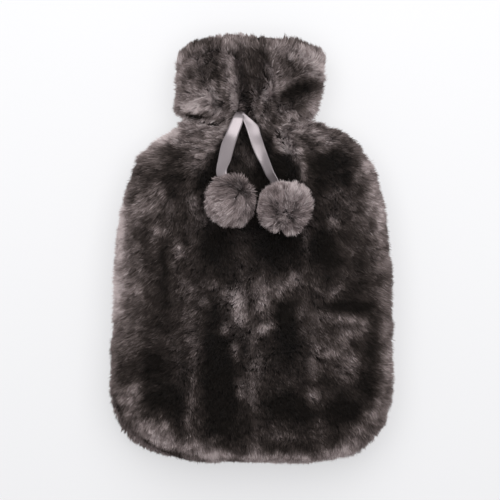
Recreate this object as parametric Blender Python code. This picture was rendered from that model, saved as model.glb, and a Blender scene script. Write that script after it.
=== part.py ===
"""A plush hot water bottle cover with a gathered collar, a satin tie and two pompoms.

Metres, +Z up. The cover lies on its back: +Y points to its mouth, +Z out of its front.
Each panel is one thick closed sheet of cloth and pile. Its outer face reaches as far as the pile
does. The two panels meet in a flat seam plane round their edge and leave the mouth open.
"""

import math

import bmesh
import bpy
import numpy as np
from mathutils import Matrix, Vector

# ---- driving dimensions ---------------------------------------------------------------------
BOTTOM_Y = -0.1872  # the bottom edge, before the seam is drawn in
MOUTH_Y = 0.1865  # the tips of the collar's pile
SEAM_Z = 0.027  # height of the side seam above the surface the cover lies on
SEAM_GAP = 0.0003  # between the front panel's seam face and the back panel's
FULLNESS = 2.6  # exponent of the rounded sections: 2 is an ellipse, more is boxier
INNER_FULLNESS = 3.4  # the same for the hollow inside

# ---- the outline and the sections, from the bottom to the mouth -------------------------------
# y: place along the cover; left, right: half-widths; front: rise of the front above the seam;
# back: drop of the back below it; side: thickness of cloth, pile and gathers at the sides;
# front_in, back_in: rise and drop of the hollow inside.
STATION_NAMES = ("y", "left", "right", "front", "back", "side", "front_in", "back_in")
STATIONS = np.array(
    [
        (-0.1872, 0.1229, 0.1217, 0.0450, 0.0270, 0.0150, 0.0310, 0.0140),
        (-0.1135, 0.1229, 0.1217, 0.0460, 0.0270, 0.0150, 0.0320, 0.0140),
        (-0.0540, 0.1195, 0.1221, 0.0460, 0.0270, 0.0150, 0.0320, 0.0140),
        (0.0185, 0.1143, 0.1177, 0.0455, 0.0270, 0.0150, 0.0310, 0.0140),
        (0.0548, 0.1074, 0.1108, 0.0440, 0.0270, 0.0160, 0.0290, 0.0140),
        (0.0789, 0.0962, 0.1022, 0.0405, 0.0270, 0.0190, 0.0240, 0.0135),
        (0.0910, 0.0832, 0.0927, 0.0365, 0.0262, 0.0210, 0.0195, 0.0130),
        (0.1031, 0.0677, 0.0763, 0.0305, 0.0240, 0.0240, 0.0140, 0.0115),
        (0.1130, 0.0605, 0.0540, 0.0255, 0.0215, 0.0260, 0.0110, 0.0110),
        (0.1215, 0.0655, 0.0575, 0.0275, 0.0235, 0.0240, 0.0130, 0.0120),
        (0.1350, 0.0655, 0.0610, 0.0325, 0.0265, 0.0180, 0.0180, 0.0140),
        (0.1500, 0.0675, 0.0643, 0.0345, 0.0270, 0.0155, 0.0205, 0.0155),
        (0.1865, 0.0630, 0.0630, 0.0330, 0.0270, 0.0150, 0.0185, 0.0145),
    ]
)

# ---- the rounded ends -------------------------------------------------------------------------
CORNER_Y = -0.1135  # where the bottom corners start to round
CORNER_DEPTH = 0.0750  # depth of the bottom corners' curve, a little past the bottom edge
CORNER_SQUARENESS = 2.7
BOTTOM_ROUND = 0.035  # how far the bottom edge rounds over from seam to front
INNER_BOTTOM_ROUND = 0.028
INNER_EASE = 0.06  # length over which the inner rows fall in with the outer ones
BOTTOM_WALL = 0.015
MOUTH_ROUND = 0.016  # how far the collar's end rounds over
MOUTH_LIP_RISE = 0.60  # share of the collar's height that is left at its very end
MOUTH_BOW = 0.019  # how much the collar's corners lie behind its middle
MOUTH_BOW_FROM = 0.128
MOUTH_BOW_POWER = 4
LIP_DEPTH = 0.005  # how far the hollow's rim lies inside the mouth

# ---- the edge -----------------------------------------------------------------------------------
SEAM_TUCK = 0.0035  # how far the seam is drawn in under the pile
SEAM_TUCK_HEIGHT = 0.004
SEAM_TUCK_POWER = 8  # how closely the tuck keeps to the very edge
EDGE_RISES = (0.0, 0.06, 0.17, 0.30, 0.44)  # heights of the edge's columns, as shares of the rise
BACK_FLATNESS = 1.10  # the back's section is this much deeper than the floor lets it be

# At the lower left the seam has rolled up on to the front, so that the back panel's edge shows.
ROLL_CENTRE = (-0.1010, -0.1570)
ROLL_REACH = 0.043
ROLL_SHIFT = (0.0078, 0.0072, 0.0070)

# ---- folds of the front ---------------------------------------------------------------------------
# Each runs from (x0, y0) to (x1, y1); half0, half1: half-widths; deep0, deep1: depths, below zero
# for a ridge.
FOLD_NAMES = ("x0", "y0", "x1", "y1", "half0", "half1", "deep0", "deep1")
COLLAR_FOLDS = np.array(
    [
        (-0.0225, 0.1210, -0.0370, 0.1640, 0.0065, 0.0115, 0.0070, 0.0080),
        (-0.0020, 0.1210, 0.0010, 0.1740, 0.0070, 0.0150, 0.0070, 0.0090),
        (0.0105, 0.1210, 0.0120, 0.1500, 0.0060, 0.0080, 0.0045, 0.0030),
        (0.0230, 0.1230, 0.0600, 0.1480, 0.0080, 0.0150, 0.0060, 0.0095),
        (0.0260, 0.1440, 0.0390, 0.1680, 0.0090, 0.0110, 0.0015, 0.0035),
        (-0.0300, 0.1250, -0.0540, 0.1330, 0.0110, 0.0140, -0.0010, -0.0040),
    ]
)
PINCH_FOLDS = np.array(
    [
        (-0.0720, 0.1140, -0.0210, 0.1110, 0.0065, 0.0060, 0.0160, 0.0040),
        (0.0660, 0.1130, 0.0250, 0.1100, 0.0065, 0.0060, 0.0150, 0.0035),
    ]
)
BODY_FOLDS = np.array(
    [
        (-0.0010, 0.1060, 0.0020, 0.0400, 0.0100, 0.0400, 0.0045, 0.0120),
        (0.0210, 0.1010, 0.0300, 0.0620, 0.0075, 0.0130, 0.0055, 0.0085),
        (0.0340, 0.0990, 0.0490, 0.0580, 0.0090, 0.0140, -0.0035, -0.0075),
        (-0.0240, 0.1010, -0.0470, 0.0660, 0.0095, 0.0170, -0.0030, -0.0060),
        (-0.0270, 0.1070, -0.0570, 0.0970, 0.0080, 0.0100, 0.0035, 0.0040),
    ]
)
INNER_FOLD_SHARE = 0.45  # the inside follows the folds less deeply

# Soft lumps of the pile, as waves: length across, length along, height, phase across, phase along.
LUMPS = (
    (0.054, 0.210, 0.0011, 0.0, 0.7),
    (0.083, 0.095, 0.0010, 1.3, 2.8),
    (0.037, 0.046, 0.0006, 2.6, 4.9),
)

# ---- grids: bands of rows from the bottom to the mouth, and columns across -------------------------
BOTTOM_ROWS = 7
ROW_BANDS = ((-0.1518, 0.0600, 16), (0.0600, 0.0980, 7), (0.0980, 0.1280, 8), (0.1280, 0.1708, 8))
GATHER_Y = 0.1120  # the columns lie closer to the middle here
GATHER_REACH = 0.034
GATHER_CROWDING = 0.45
MOUTH_ROWS = 4
FRONT_COLUMNS = 28
BACK_COLUMNS = 14

# ---- the tie -----------------------------------------------------------------------------------------
RIBBON_WIDTH = 0.010
RIBBON_THICKNESS = 0.0008
RIBBON_CLEARANCE = 0.0003
RIBBON_STEPS = 4  # sections from one point of the route to the next
# The route of the ribbon's middle line, from the left pompom through the buttonhole to the right
# one; azimuth and tilt: the direction in degrees in which its width runs.
RIBBON_ROUTE = np.array(
    [
        (-0.0190, 0.0530, 0.0840, -5.0, 20.0),
        (-0.0222, 0.0590, 0.0835, 0.0, 16.0),
        (-0.0243, 0.0668, 0.0815, -4.0, 10.0),
        (-0.0226, 0.0772, 0.0760, -14.0, 4.0),
        (-0.0185, 0.0901, 0.0690, -18.0, 0.0),
        (-0.0138, 0.1039, 0.0622, -17.0, 0.0),
        (-0.0110, 0.1105, 0.0588, -12.0, 0.0),
        (-0.0090, 0.1140, 0.0560, -4.0, 0.0),
        (-0.0080, 0.1156, 0.0515, 0.0, 0.0),
        (-0.0078, 0.1158, 0.0460, 0.0, 0.0),
        (-0.0076, 0.1163, 0.0438, 0.0, 0.0),
        (-0.0074, 0.1175, 0.0428, 0.0, 0.0),
        (-0.0072, 0.1187, 0.0438, 0.0, 0.0),
        (-0.0070, 0.1192, 0.0480, 0.0, 0.0),
        (-0.0066, 0.1190, 0.0545, 2.0, 0.0),
        (-0.0050, 0.1162, 0.0592, 10.0, 0.0),
        (-0.0012, 0.1105, 0.0610, 22.0, -6.0),
        (0.0025, 0.1050, 0.0625, 24.0, -4.0),
        (0.0050, 0.0970, 0.0655, 18.0, 0.0),
        (0.0082, 0.0850, 0.0710, 18.0, 6.0),
        (0.0138, 0.0703, 0.0775, 24.0, 24.0),
        (0.0172, 0.0617, 0.0815, 30.0, 44.0),
        (0.0213, 0.0530, 0.0840, 36.0, 52.0),
        (0.0240, 0.0470, 0.0850, 38.0, 52.0),
    ]
)
BUTTONHOLE_CENTRE = (-0.0074, 0.1172)
BUTTONHOLE_LENGTH = 0.0130
BUTTONHOLE_WIDTH = 0.0058
BUTTONHOLE_FLOOR = 0.0420
BUTTONHOLE_TOP = 0.0700

# ---- the pompoms ---------------------------------------------------------------------------------------
POMPOM_CORE = 0.0185  # radius of the wound middle, where the locks are rooted
POMPOM_LOCKS_FROM = 58  # points on the core; the locks stand on the faces between them
LOCK_TIP_SHARE = 0.50  # width of a lock's tip, as a share of its root
LOCK_UNEVENNESS = 0.0014
LOCK_LEAN = 0.0010
LOCKFREE_ANGLE = math.radians(27)  # round the place where the ribbon goes in
POMPOM_CLEARANCE = 0.0005
# name: centre x, centre y, centre's height above the cloth, radius to the lock tips
POMPOMS = {
    "pompom_left": (-0.0164, 0.0425, 0.0205, 0.0237),
    "pompom_right": (0.0293, 0.0349, 0.0215, 0.0250),
}
POMPOM_FOOTPRINT = 0.014  # radius of the patch of cloth that a pompom presses on
FOOTPRINT_TURNS = 24  # places at which that patch is measured, round it and out from its middle
FOOTPRINT_RINGS = 6
SLOT_SECTIONS = 10  # sections of the ribbon, from its end, that the slot in a pompom follows

# ---- materials: colour, roughness ----------------------------------------------------------------------
PLUSH = ((0.070, 0.058, 0.055), 0.95)
POMPOM_PLUSH = ((0.200, 0.165, 0.160), 0.95)
SATIN = ((0.330, 0.285, 0.300), 0.35)


def clear_scene():
    for item in list(bpy.data.objects):
        bpy.data.objects.remove(item)


def material(name, finish):
    colour, roughness = finish
    made = bpy.data.materials.new(name)
    made.use_nodes = True
    shader = made.node_tree.nodes["Principled BSDF"]
    shader.inputs["Base Color"].default_value = (*colour, 1.0)
    shader.inputs["Roughness"].default_value = roughness
    shader.inputs["Metallic"].default_value = 0.0
    return made


def add_object(name, points, faces, finish):
    """A mesh object whose faces all point outwards."""
    mesh = bpy.data.meshes.new(name)
    mesh.from_pydata(points.tolist(), [], faces.tolist())
    shape = bmesh.new()
    shape.from_mesh(mesh)
    bmesh.ops.recalc_face_normals(shape, faces=shape.faces)
    shape.to_mesh(mesh)
    shape.free()
    mesh.shade_smooth()
    mesh.materials.append(finish)
    made = bpy.data.objects.new(name, mesh)
    bpy.context.scene.collection.objects.link(made)
    return made


def ease(value, low, high):
    """0 below low, 1 above high, and a smooth step between."""
    share = np.clip((value - low) / (high - low), 0.0, 1.0)
    return share * share * (3.0 - 2.0 * share)


def station(name, y):
    """One column of the station table at y, on a curve that never overshoots the table."""
    at = STATIONS[:, 0]
    values = STATIONS[:, STATION_NAMES.index(name)]
    rise = np.diff(values) / np.diff(at)
    slope = np.zeros_like(values)
    level = rise[:-1] * rise[1:] <= 0.0
    total = np.where(level, 1.0, rise[:-1] + rise[1:])
    slope[1:-1] = np.where(level, 0.0, 2.0 * rise[:-1] * rise[1:] / total)
    y = np.clip(y, at[0], at[-1])
    k = np.clip(np.searchsorted(at, y, side="right") - 1, 0, len(at) - 2)
    width = at[k + 1] - at[k]
    s = (y - at[k]) / width
    start = values[k] * (1.0 + 2.0 * s) * (1.0 - s) ** 2 + slope[k] * width * s * (1.0 - s) ** 2
    end = values[k + 1] * s * s * (3.0 - 2.0 * s) - slope[k + 1] * width * s * s * (1.0 - s)
    return start + end


def corner_share(y):
    """The outline's half-width over the bottom corners, as a share of the full width."""
    down = np.clip((CORNER_Y - y) / CORNER_DEPTH, 0.0, 1.0)
    return (1.0 - down**CORNER_SQUARENESS) ** (1.0 / CORNER_SQUARENESS)


def rounded(share, fullness=FULLNESS):
    """Height of a rounded section at a share of its half-width, as a share of its full height."""
    return (1.0 - np.abs(share) ** fullness) ** (1.0 / fullness)


def fold_depth(folds, x, y):
    """How deep the folds lie below the panel's even crown at (x, y); ridges count below zero."""
    depth = np.zeros_like(x)
    for x0, y0, x1, y1, half0, half1, deep0, deep1 in folds:
        run = np.array((x1 - x0, y1 - y0))
        length = np.hypot(*run)
        run = run / length
        along = ((x - x0) * run[0] + (y - y0) * run[1]) / length
        aside = np.abs((y - y0) * run[0] - (x - x0) * run[1])
        held = np.clip(along, 0.0, 1.0)
        half = half0 + (half1 - half0) * held
        deep = deep0 + (deep1 - deep0) * held
        past = (along - held) * length
        away = np.clip(np.hypot(aside, past) / half, 0.0, 1.0)
        depth += deep * np.cos(0.5 * math.pi * away) ** 2
    return depth


def all_folds(x, y):
    return sum(fold_depth(folds, x, y) for folds in (COLLAR_FOLDS, PINCH_FOLDS, BODY_FOLDS))


def lumps(x, y):
    """Height of the pile's soft unevenness."""
    height = np.zeros_like(x)
    for across, along, high, phase_across, phase_along in LUMPS:
        wave = np.sin(2 * math.pi * x / across + phase_across)
        height += high * wave * np.cos(2 * math.pi * y / along + phase_along)
    return height


def front_height(x, y):
    """Height of the front panel's outer face, away from its edge, over a point (x, y)."""
    half = np.where(x < 0.0, station("left", y), station("right", y))
    crown = rounded(np.clip(x / half, -1.0, 1.0))
    return SEAM_Z + station("front", y) * crown + (lumps(x, y) - all_folds(x, y)) * crown


def columns_across(middle):
    """Places across a panel from -1 at its left edge to 1 at its right, closer at the edges."""
    edge = (1.0 - np.array(EDGE_RISES) ** FULLNESS) ** (1.0 / FULLNESS)
    return np.concatenate([-edge, np.linspace(-edge[-1], edge[-1], middle + 1)[1:-1], edge[::-1]])


def rows_along(inner):
    """Each row's place y and its share of the full height, from the bottom to the mouth."""
    turn = np.linspace(0.0, 0.5 * math.pi, BOTTOM_ROWS + 1)[:-1]
    power = 2.0 / FULLNESS
    depth = INNER_BOTTOM_ROUND if inner else BOTTOM_ROUND
    wall = BOTTOM_WALL if inner else 0.0
    ends = [BOTTOM_Y + wall + depth * (1.0 - np.cos(turn) ** power)]
    shares = [np.sin(turn) ** power]
    for low, high, count in ROW_BANDS:
        ends.append(np.linspace(low, high, count + 1)[:-1])
        shares.append(np.ones(count))
    round_from = ROW_BANDS[-1][1]
    turn = np.linspace(0.0, 1.0, MOUTH_ROWS + 1)
    ends.append(round_from + (MOUTH_Y - round_from) * np.sin(0.5 * math.pi * turn))
    shares.append(np.ones(MOUTH_ROWS + 1))
    y = np.concatenate(ends)
    if inner:
        beyond = BOTTOM_Y + BOTTOM_ROUND
        step = BOTTOM_WALL + INNER_BOTTOM_ROUND - BOTTOM_ROUND
        shift = step * (1.0 - ease(y, beyond, beyond + INNER_EASE))
        shift = shift * (np.arange(len(y)) >= BOTTOM_ROWS)
        y = y + shift - LIP_DEPTH * ease(y, MOUTH_Y - 2.0 * MOUTH_ROUND, MOUTH_Y)
    return y, np.concatenate(shares)


def mouth_share(y):
    """How much of the collar's height is left as its end rounds over."""
    past = np.clip((y - (MOUTH_Y - MOUTH_ROUND)) / MOUTH_ROUND, 0.0, 1.0)
    return MOUTH_LIP_RISE + (1.0 - MOUTH_LIP_RISE) * np.sqrt(1.0 - past**2)


def rolled_seam(points):
    """How far the rolled corner moves each point."""
    away = np.hypot(points[..., 0] - ROLL_CENTRE[0], points[..., 1] - ROLL_CENTRE[1])
    return np.exp(-((away / ROLL_REACH) ** 2))[..., None] * np.array(ROLL_SHIFT)


def panel_layer(front, inner):
    """One face of a panel, as a grid of points: rows from bottom to mouth, columns left to right."""
    across = columns_across(FRONT_COLUMNS if front else BACK_COLUMNS)[None, :]
    y, share = (values[:, None] for values in rows_along(inner))
    crowding = 1.0 + GATHER_CROWDING * np.exp(-(((y - GATHER_Y) / GATHER_REACH) ** 2))
    across = np.sign(across) * np.abs(across) ** crowding
    crown = rounded(across, INNER_FULLNESS if inner else FULLNESS)
    outline = corner_share(rows_along(False)[0][:, None])
    wall = station("side", y) if inner else 0.0
    left = station("left", y) * outline - wall
    right = station("right", y) * outline - wall
    x = across * np.where(across < 0.0, left, right)
    name = ("front" if front else "back") + ("_in" if inner else "")
    rise = station(name, y) * share * crown
    if front:
        keep = INNER_FOLD_SHARE if inner else 1.0
        rise = rise - keep * share * crown * (all_folds(x, y) - lumps(x, y))
    if not inner:
        rise = rise * mouth_share(y)
        tuck = SEAM_TUCK * np.exp(-((rise / SEAM_TUCK_HEIGHT) ** 2))
        x = x - np.sign(across) * tuck * np.abs(across) ** SEAM_TUCK_POWER
        y = y + tuck * (1.0 - ease(y, BOTTOM_Y, BOTTOM_Y + BOTTOM_ROUND))
    bow = MOUTH_BOW * ease(y, MOUTH_BOW_FROM, MOUTH_Y) * np.abs(across) ** MOUTH_BOW_POWER
    seam = SEAM_Z + 0.5 * SEAM_GAP * (1.0 if front else -1.0)
    if front:
        z = seam + rise
    else:
        z = np.maximum(seam - (rise if inner else BACK_FLATNESS * rise), 0.0)
    points = np.stack([x, y - bow, z], axis=-1)
    moved = rolled_seam(points)
    if not front:
        moved[1:, 1:-1] = 0.0
    return points + moved


def panel(name, front, finish):
    """A panel of cloth and pile: its outer and inner faces, joined round all four borders."""
    outer = panel_layer(front, inner=False)
    inner = panel_layer(front, inner=True)
    rows, columns = outer.shape[:2]
    size = rows * columns
    index = np.arange(size).reshape(rows, columns)
    quads = np.stack([index[:-1, :-1], index[:-1, 1:], index[1:, 1:], index[1:, :-1]], axis=-1)
    quads = quads.reshape(-1, 4)
    border = np.concatenate([index[0], index[1:, -1], index[-1, -2::-1], index[-2:0:-1, 0]])
    after = np.roll(border, -1)
    rim = np.stack([border, border + size, after + size, after], axis=-1)
    faces = np.concatenate([quads, quads[:, ::-1] + size, rim])
    points = np.concatenate([outer.reshape(-1, 3), inner.reshape(-1, 3)])
    return add_object(name, points, faces, finish)


def ribbon_line():
    """The ribbon's middle line and width directions, on a smooth curve through its route."""
    route = np.concatenate([RIBBON_ROUTE[:1], RIBBON_ROUTE, RIBBON_ROUTE[-1:]])
    before, start, end, after = (route[k : len(route) - 3 + k, None] for k in range(4))
    s = (np.arange(RIBBON_STEPS) / RIBBON_STEPS)[None, :, None]
    curve = (
        2.0 * start
        + (end - before) * s
        + (2.0 * before - 5.0 * start + 4.0 * end - after) * s**2
        + (3.0 * start - before - 3.0 * end + after) * s**3
    ) / 2.0
    curve = np.concatenate([curve.reshape(-1, RIBBON_ROUTE.shape[1]), RIBBON_ROUTE[-1:]])
    line = curve[:, :3]
    azimuth, tilt = np.radians(curve[:, 3]), np.radians(curve[:, 4])
    tangent = np.gradient(line, axis=0)
    tangent /= np.linalg.norm(tangent, axis=1, keepdims=True)
    width = np.stack(
        [np.cos(azimuth) * np.cos(tilt), np.sin(azimuth) * np.cos(tilt), np.sin(tilt)], axis=-1
    )
    width -= np.sum(width * tangent, axis=1, keepdims=True) * tangent
    width /= np.linalg.norm(width, axis=1, keepdims=True)
    return line, tangent, width


def strap(name, line, tangent, width, across, thick, finish):
    """A flat strap of even width and thickness along a line."""
    normal = np.cross(tangent, width)
    corners = [(-0.5, -0.5), (0.5, -0.5), (0.5, 0.5), (-0.5, 0.5)]
    ring = np.stack([line + a * across * width + b * thick * normal for a, b in corners], axis=1)
    count = len(line)
    index = np.arange(4 * count).reshape(count, 4)
    beside = np.roll(index, -1, axis=1)
    sides = np.stack([index[:-1], beside[:-1], beside[1:], index[1:]], axis=-1).reshape(-1, 4)
    faces = np.concatenate([sides, index[:1, ::-1], index[-1:]])
    return add_object(name, ring.reshape(-1, 3), faces, finish)


def cut(target, cutter, name):
    """Cuts one object's shape out of another, and keeps the cutter as a hidden guide."""
    cutter.hide_render = True
    cutter.display_type = "WIRE"
    difference = target.modifiers.new(name, "BOOLEAN")
    difference.operation = "DIFFERENCE"
    difference.object = cutter


def buttonhole_cutter(finish):
    """The slit at the gather through which both ends of the ribbon come out."""
    shape = bmesh.new()
    height = BUTTONHOLE_TOP - BUTTONHOLE_FLOOR
    middle = Vector((*BUTTONHOLE_CENTRE, BUTTONHOLE_FLOOR + 0.5 * height))
    size = Vector((BUTTONHOLE_LENGTH, BUTTONHOLE_WIDTH, height))
    bmesh.ops.create_cube(shape, size=1.0, matrix=Matrix.LocRotScale(middle, None, size))
    mesh = bpy.data.meshes.new("buttonhole_cutter")
    shape.to_mesh(mesh)
    shape.free()
    mesh.materials.append(finish)
    made = bpy.data.objects.new("buttonhole_cutter", mesh)
    bpy.context.scene.collection.objects.link(made)
    return made


def cloth_under(x, y):
    """Height of the highest cloth in the patch that a pompom presses on."""
    turn, spread = np.meshgrid(
        np.linspace(0.0, 2 * math.pi, FOOTPRINT_TURNS),
        np.linspace(0.0, POMPOM_FOOTPRINT, FOOTPRINT_RINGS),
    )
    return float(front_height(x + spread * np.cos(turn), y + spread * np.sin(turn)).max())


def core_points():
    """Points spread evenly over the core on a spiral that turns by the golden angle."""
    k = np.arange(POMPOM_LOCKS_FROM)
    height = 1.0 - 2.0 * (k + 0.5) / POMPOM_LOCKS_FROM
    turn = k * math.pi * (3.0 - math.sqrt(5.0))
    out = np.sqrt(1.0 - height**2)
    return POMPOM_CORE * np.stack([out * np.cos(turn), out * np.sin(turn), height], axis=-1)


def lock_reach(way, radius, limits):
    """How far a lock stands out along a direction before it meets a neighbour or the cloth."""
    reach = radius
    for normal, distance in limits:
        facing = way.dot(normal)
        if facing > 0.0:
            reach = min(reach, distance / facing)
    return reach


def pompom(name, centre, radius, ribbon_way, limits, seed, finish):
    """A wound core with tapered, uneven locks on all its faces but those round the ribbon."""
    rng = np.random.default_rng(seed)
    shape = bmesh.new()
    for point in core_points():
        shape.verts.new(point)
    bmesh.ops.convex_hull(shape, input=shape.verts)
    for face in list(shape.faces):
        way = face.calc_center_median().normalized()
        uneven = rng.uniform(-LOCK_UNEVENNESS, LOCK_UNEVENNESS / 2)
        lean = Vector(rng.uniform(-LOCK_LEAN, LOCK_LEAN, 3))
        if way.angle(ribbon_way) < LOCKFREE_ANGLE:
            continue
        root = face.calc_center_median()
        lock = bmesh.ops.extrude_discrete_faces(shape, faces=[face])["faces"][0]
        reach = lock_reach(way, radius + uneven, limits)
        tip = way * reach + lean - way * lean.dot(way)
        for corner in lock.verts:
            offset = (corner.co - root) * LOCK_TIP_SHARE
            corner.co = tip + offset - way * offset.dot(way)
    bmesh.ops.recalc_face_normals(shape, faces=shape.faces)
    bmesh.ops.translate(shape, verts=shape.verts, vec=centre)
    mesh = bpy.data.meshes.new(name)
    shape.to_mesh(mesh)
    shape.free()
    mesh.materials.append(finish)
    made = bpy.data.objects.new(name, mesh)
    bpy.context.scene.collection.objects.link(made)
    return made


def pompom_limits(centres):
    """Where each pompom's locks stop: at its neighbour and at the cloth it lies on."""
    left, right = centres["pompom_left"], centres["pompom_right"]
    apart = (right - left).length
    toward = (right - left).normalized()
    from_left = 0.5 * (apart + POMPOMS["pompom_left"][3] - POMPOMS["pompom_right"][3])
    down = Vector((0.0, 0.0, -1.0))
    return {
        "pompom_left": [
            (toward, from_left - POMPOM_CLEARANCE),
            (down, POMPOMS["pompom_left"][2] - POMPOM_CLEARANCE),
        ],
        "pompom_right": [
            (-toward, apart - from_left - POMPOM_CLEARANCE),
            (down, POMPOMS["pompom_right"][2] - POMPOM_CLEARANCE),
        ],
    }


def ribbon_slot_cutter(name, line, tangent, width, finish):
    """The room that a ribbon's end takes in its pompom; line starts at that end."""
    line = np.concatenate([line[:1] - RIBBON_CLEARANCE * tangent[:1], line])
    tangent = np.concatenate([tangent[:1], tangent])
    width = np.concatenate([width[:1], width])
    across = RIBBON_WIDTH + 2 * RIBBON_CLEARANCE
    thick = RIBBON_THICKNESS + 2 * RIBBON_CLEARANCE
    return strap(name, line, tangent, width, across, thick, finish)


def add_pompoms(line, tangent, width, finish):
    """Both pompoms, pressed against each other and the cloth, with the ribbon's ends in them."""
    centres = {
        name: Vector((x, y, cloth_under(x, y) + above)) for name, (x, y, above, _) in POMPOMS.items()
    }
    limits = pompom_limits(centres)
    ends = {
        "pompom_left": (line[:SLOT_SECTIONS], tangent[:SLOT_SECTIONS], width[:SLOT_SECTIONS]),
        "pompom_right": (
            line[: -SLOT_SECTIONS - 1 : -1],
            -tangent[: -SLOT_SECTIONS - 1 : -1],
            width[: -SLOT_SECTIONS - 1 : -1],
        ),
    }
    for seed, (name, (_, _, _, radius)) in enumerate(POMPOMS.items()):
        way = (Vector(ends[name][0][0]) - centres[name]).normalized()
        made = pompom(name, centres[name], radius, way, limits[name], seed, finish)
        cut(made, ribbon_slot_cutter(name + "_slot", *ends[name], finish), "ribbon_slot")


def main():
    clear_scene()
    plush = material("plush", PLUSH)
    satin = material("satin", SATIN)
    pompom_plush = material("pompom_plush", POMPOM_PLUSH)
    panel("back_panel", False, plush)
    front = panel("front_panel", True, plush)
    cut(front, buttonhole_cutter(plush), "buttonhole")
    line, tangent, width = ribbon_line()
    strap("ribbon", line, tangent, width, RIBBON_WIDTH, RIBBON_THICKNESS, satin)
    add_pompoms(line, tangent, width, pompom_plush)


main()
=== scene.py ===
"""The looks of a plush hot water bottle cover with a gathered collar, a satin tie and two pompoms.

Metres, +Z up. The cover lies on its back on a pale floor, and +Y points to its mouth. Each panel is
a thin sheet of cloth inside its solid, and its pile reaches the solid's outer face. Each strand of
the pile is a thin blade, broad at its middle and pointed at its tip.
"""

import logging
import math
from collections.abc import Iterable
from dataclasses import dataclass, fields, replace
from enum import Enum
from typing import ClassVar

import bpy
import numpy as np
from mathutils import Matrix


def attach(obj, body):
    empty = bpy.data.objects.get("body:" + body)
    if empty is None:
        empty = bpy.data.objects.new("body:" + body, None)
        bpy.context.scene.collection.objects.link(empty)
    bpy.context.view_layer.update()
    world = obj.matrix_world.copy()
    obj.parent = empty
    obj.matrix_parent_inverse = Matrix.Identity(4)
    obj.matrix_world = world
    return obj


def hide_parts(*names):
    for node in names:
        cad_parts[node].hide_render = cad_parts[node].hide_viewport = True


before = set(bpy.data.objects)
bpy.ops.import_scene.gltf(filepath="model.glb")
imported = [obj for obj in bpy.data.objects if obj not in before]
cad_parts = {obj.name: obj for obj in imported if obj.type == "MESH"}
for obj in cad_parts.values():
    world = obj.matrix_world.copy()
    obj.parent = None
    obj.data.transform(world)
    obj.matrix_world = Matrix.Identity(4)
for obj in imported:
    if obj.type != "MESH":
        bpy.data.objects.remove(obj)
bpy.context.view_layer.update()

LOG = logging.getLogger("cover")
UV_MAP = "OFBake"
ROOT_V, MIDDLE_V, TIP_V = 0.01, 0.5, 0.99  # a blade's root, middle and tip in its UV map
WAVE_PHASE = 20.0  # a wave texture's phase in radians for each unit of its scaled coordinate
TINY = 1e-12  # keeps a division from meeting zero

Array = np.ndarray
Band = tuple[float, float]  # a range of values, or from where to where something sets in
Colour = tuple[float, float, float]
Patch = tuple[float, float, float, float, float, float]

# ---- the cover's outline and sections, from the bottom to the mouth ------------------------------
STATION_NAMES = ("y", "left", "right", "front", "back", "side", "front_in", "back_in")
STATIONS = np.array(
    [
        (-0.1872, 0.1229, 0.1217, 0.0450, 0.0270, 0.0150, 0.0310, 0.0140),
        (-0.1135, 0.1229, 0.1217, 0.0460, 0.0270, 0.0150, 0.0320, 0.0140),
        (-0.0540, 0.1195, 0.1221, 0.0460, 0.0270, 0.0150, 0.0320, 0.0140),
        (0.0185, 0.1143, 0.1177, 0.0455, 0.0270, 0.0150, 0.0310, 0.0140),
        (0.0548, 0.1074, 0.1108, 0.0440, 0.0270, 0.0160, 0.0290, 0.0140),
        (0.0789, 0.0962, 0.1022, 0.0405, 0.0270, 0.0190, 0.0240, 0.0135),
        (0.0910, 0.0832, 0.0927, 0.0365, 0.0262, 0.0210, 0.0195, 0.0130),
        (0.1031, 0.0677, 0.0763, 0.0305, 0.0240, 0.0240, 0.0140, 0.0115),
        (0.1130, 0.0605, 0.0540, 0.0255, 0.0215, 0.0260, 0.0110, 0.0110),
        (0.1215, 0.0655, 0.0575, 0.0275, 0.0235, 0.0240, 0.0130, 0.0120),
        (0.1350, 0.0655, 0.0610, 0.0325, 0.0265, 0.0180, 0.0180, 0.0140),
        (0.1500, 0.0675, 0.0643, 0.0345, 0.0270, 0.0155, 0.0205, 0.0155),
        (0.1865, 0.0630, 0.0630, 0.0330, 0.0270, 0.0150, 0.0185, 0.0145),
    ]
)

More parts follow.
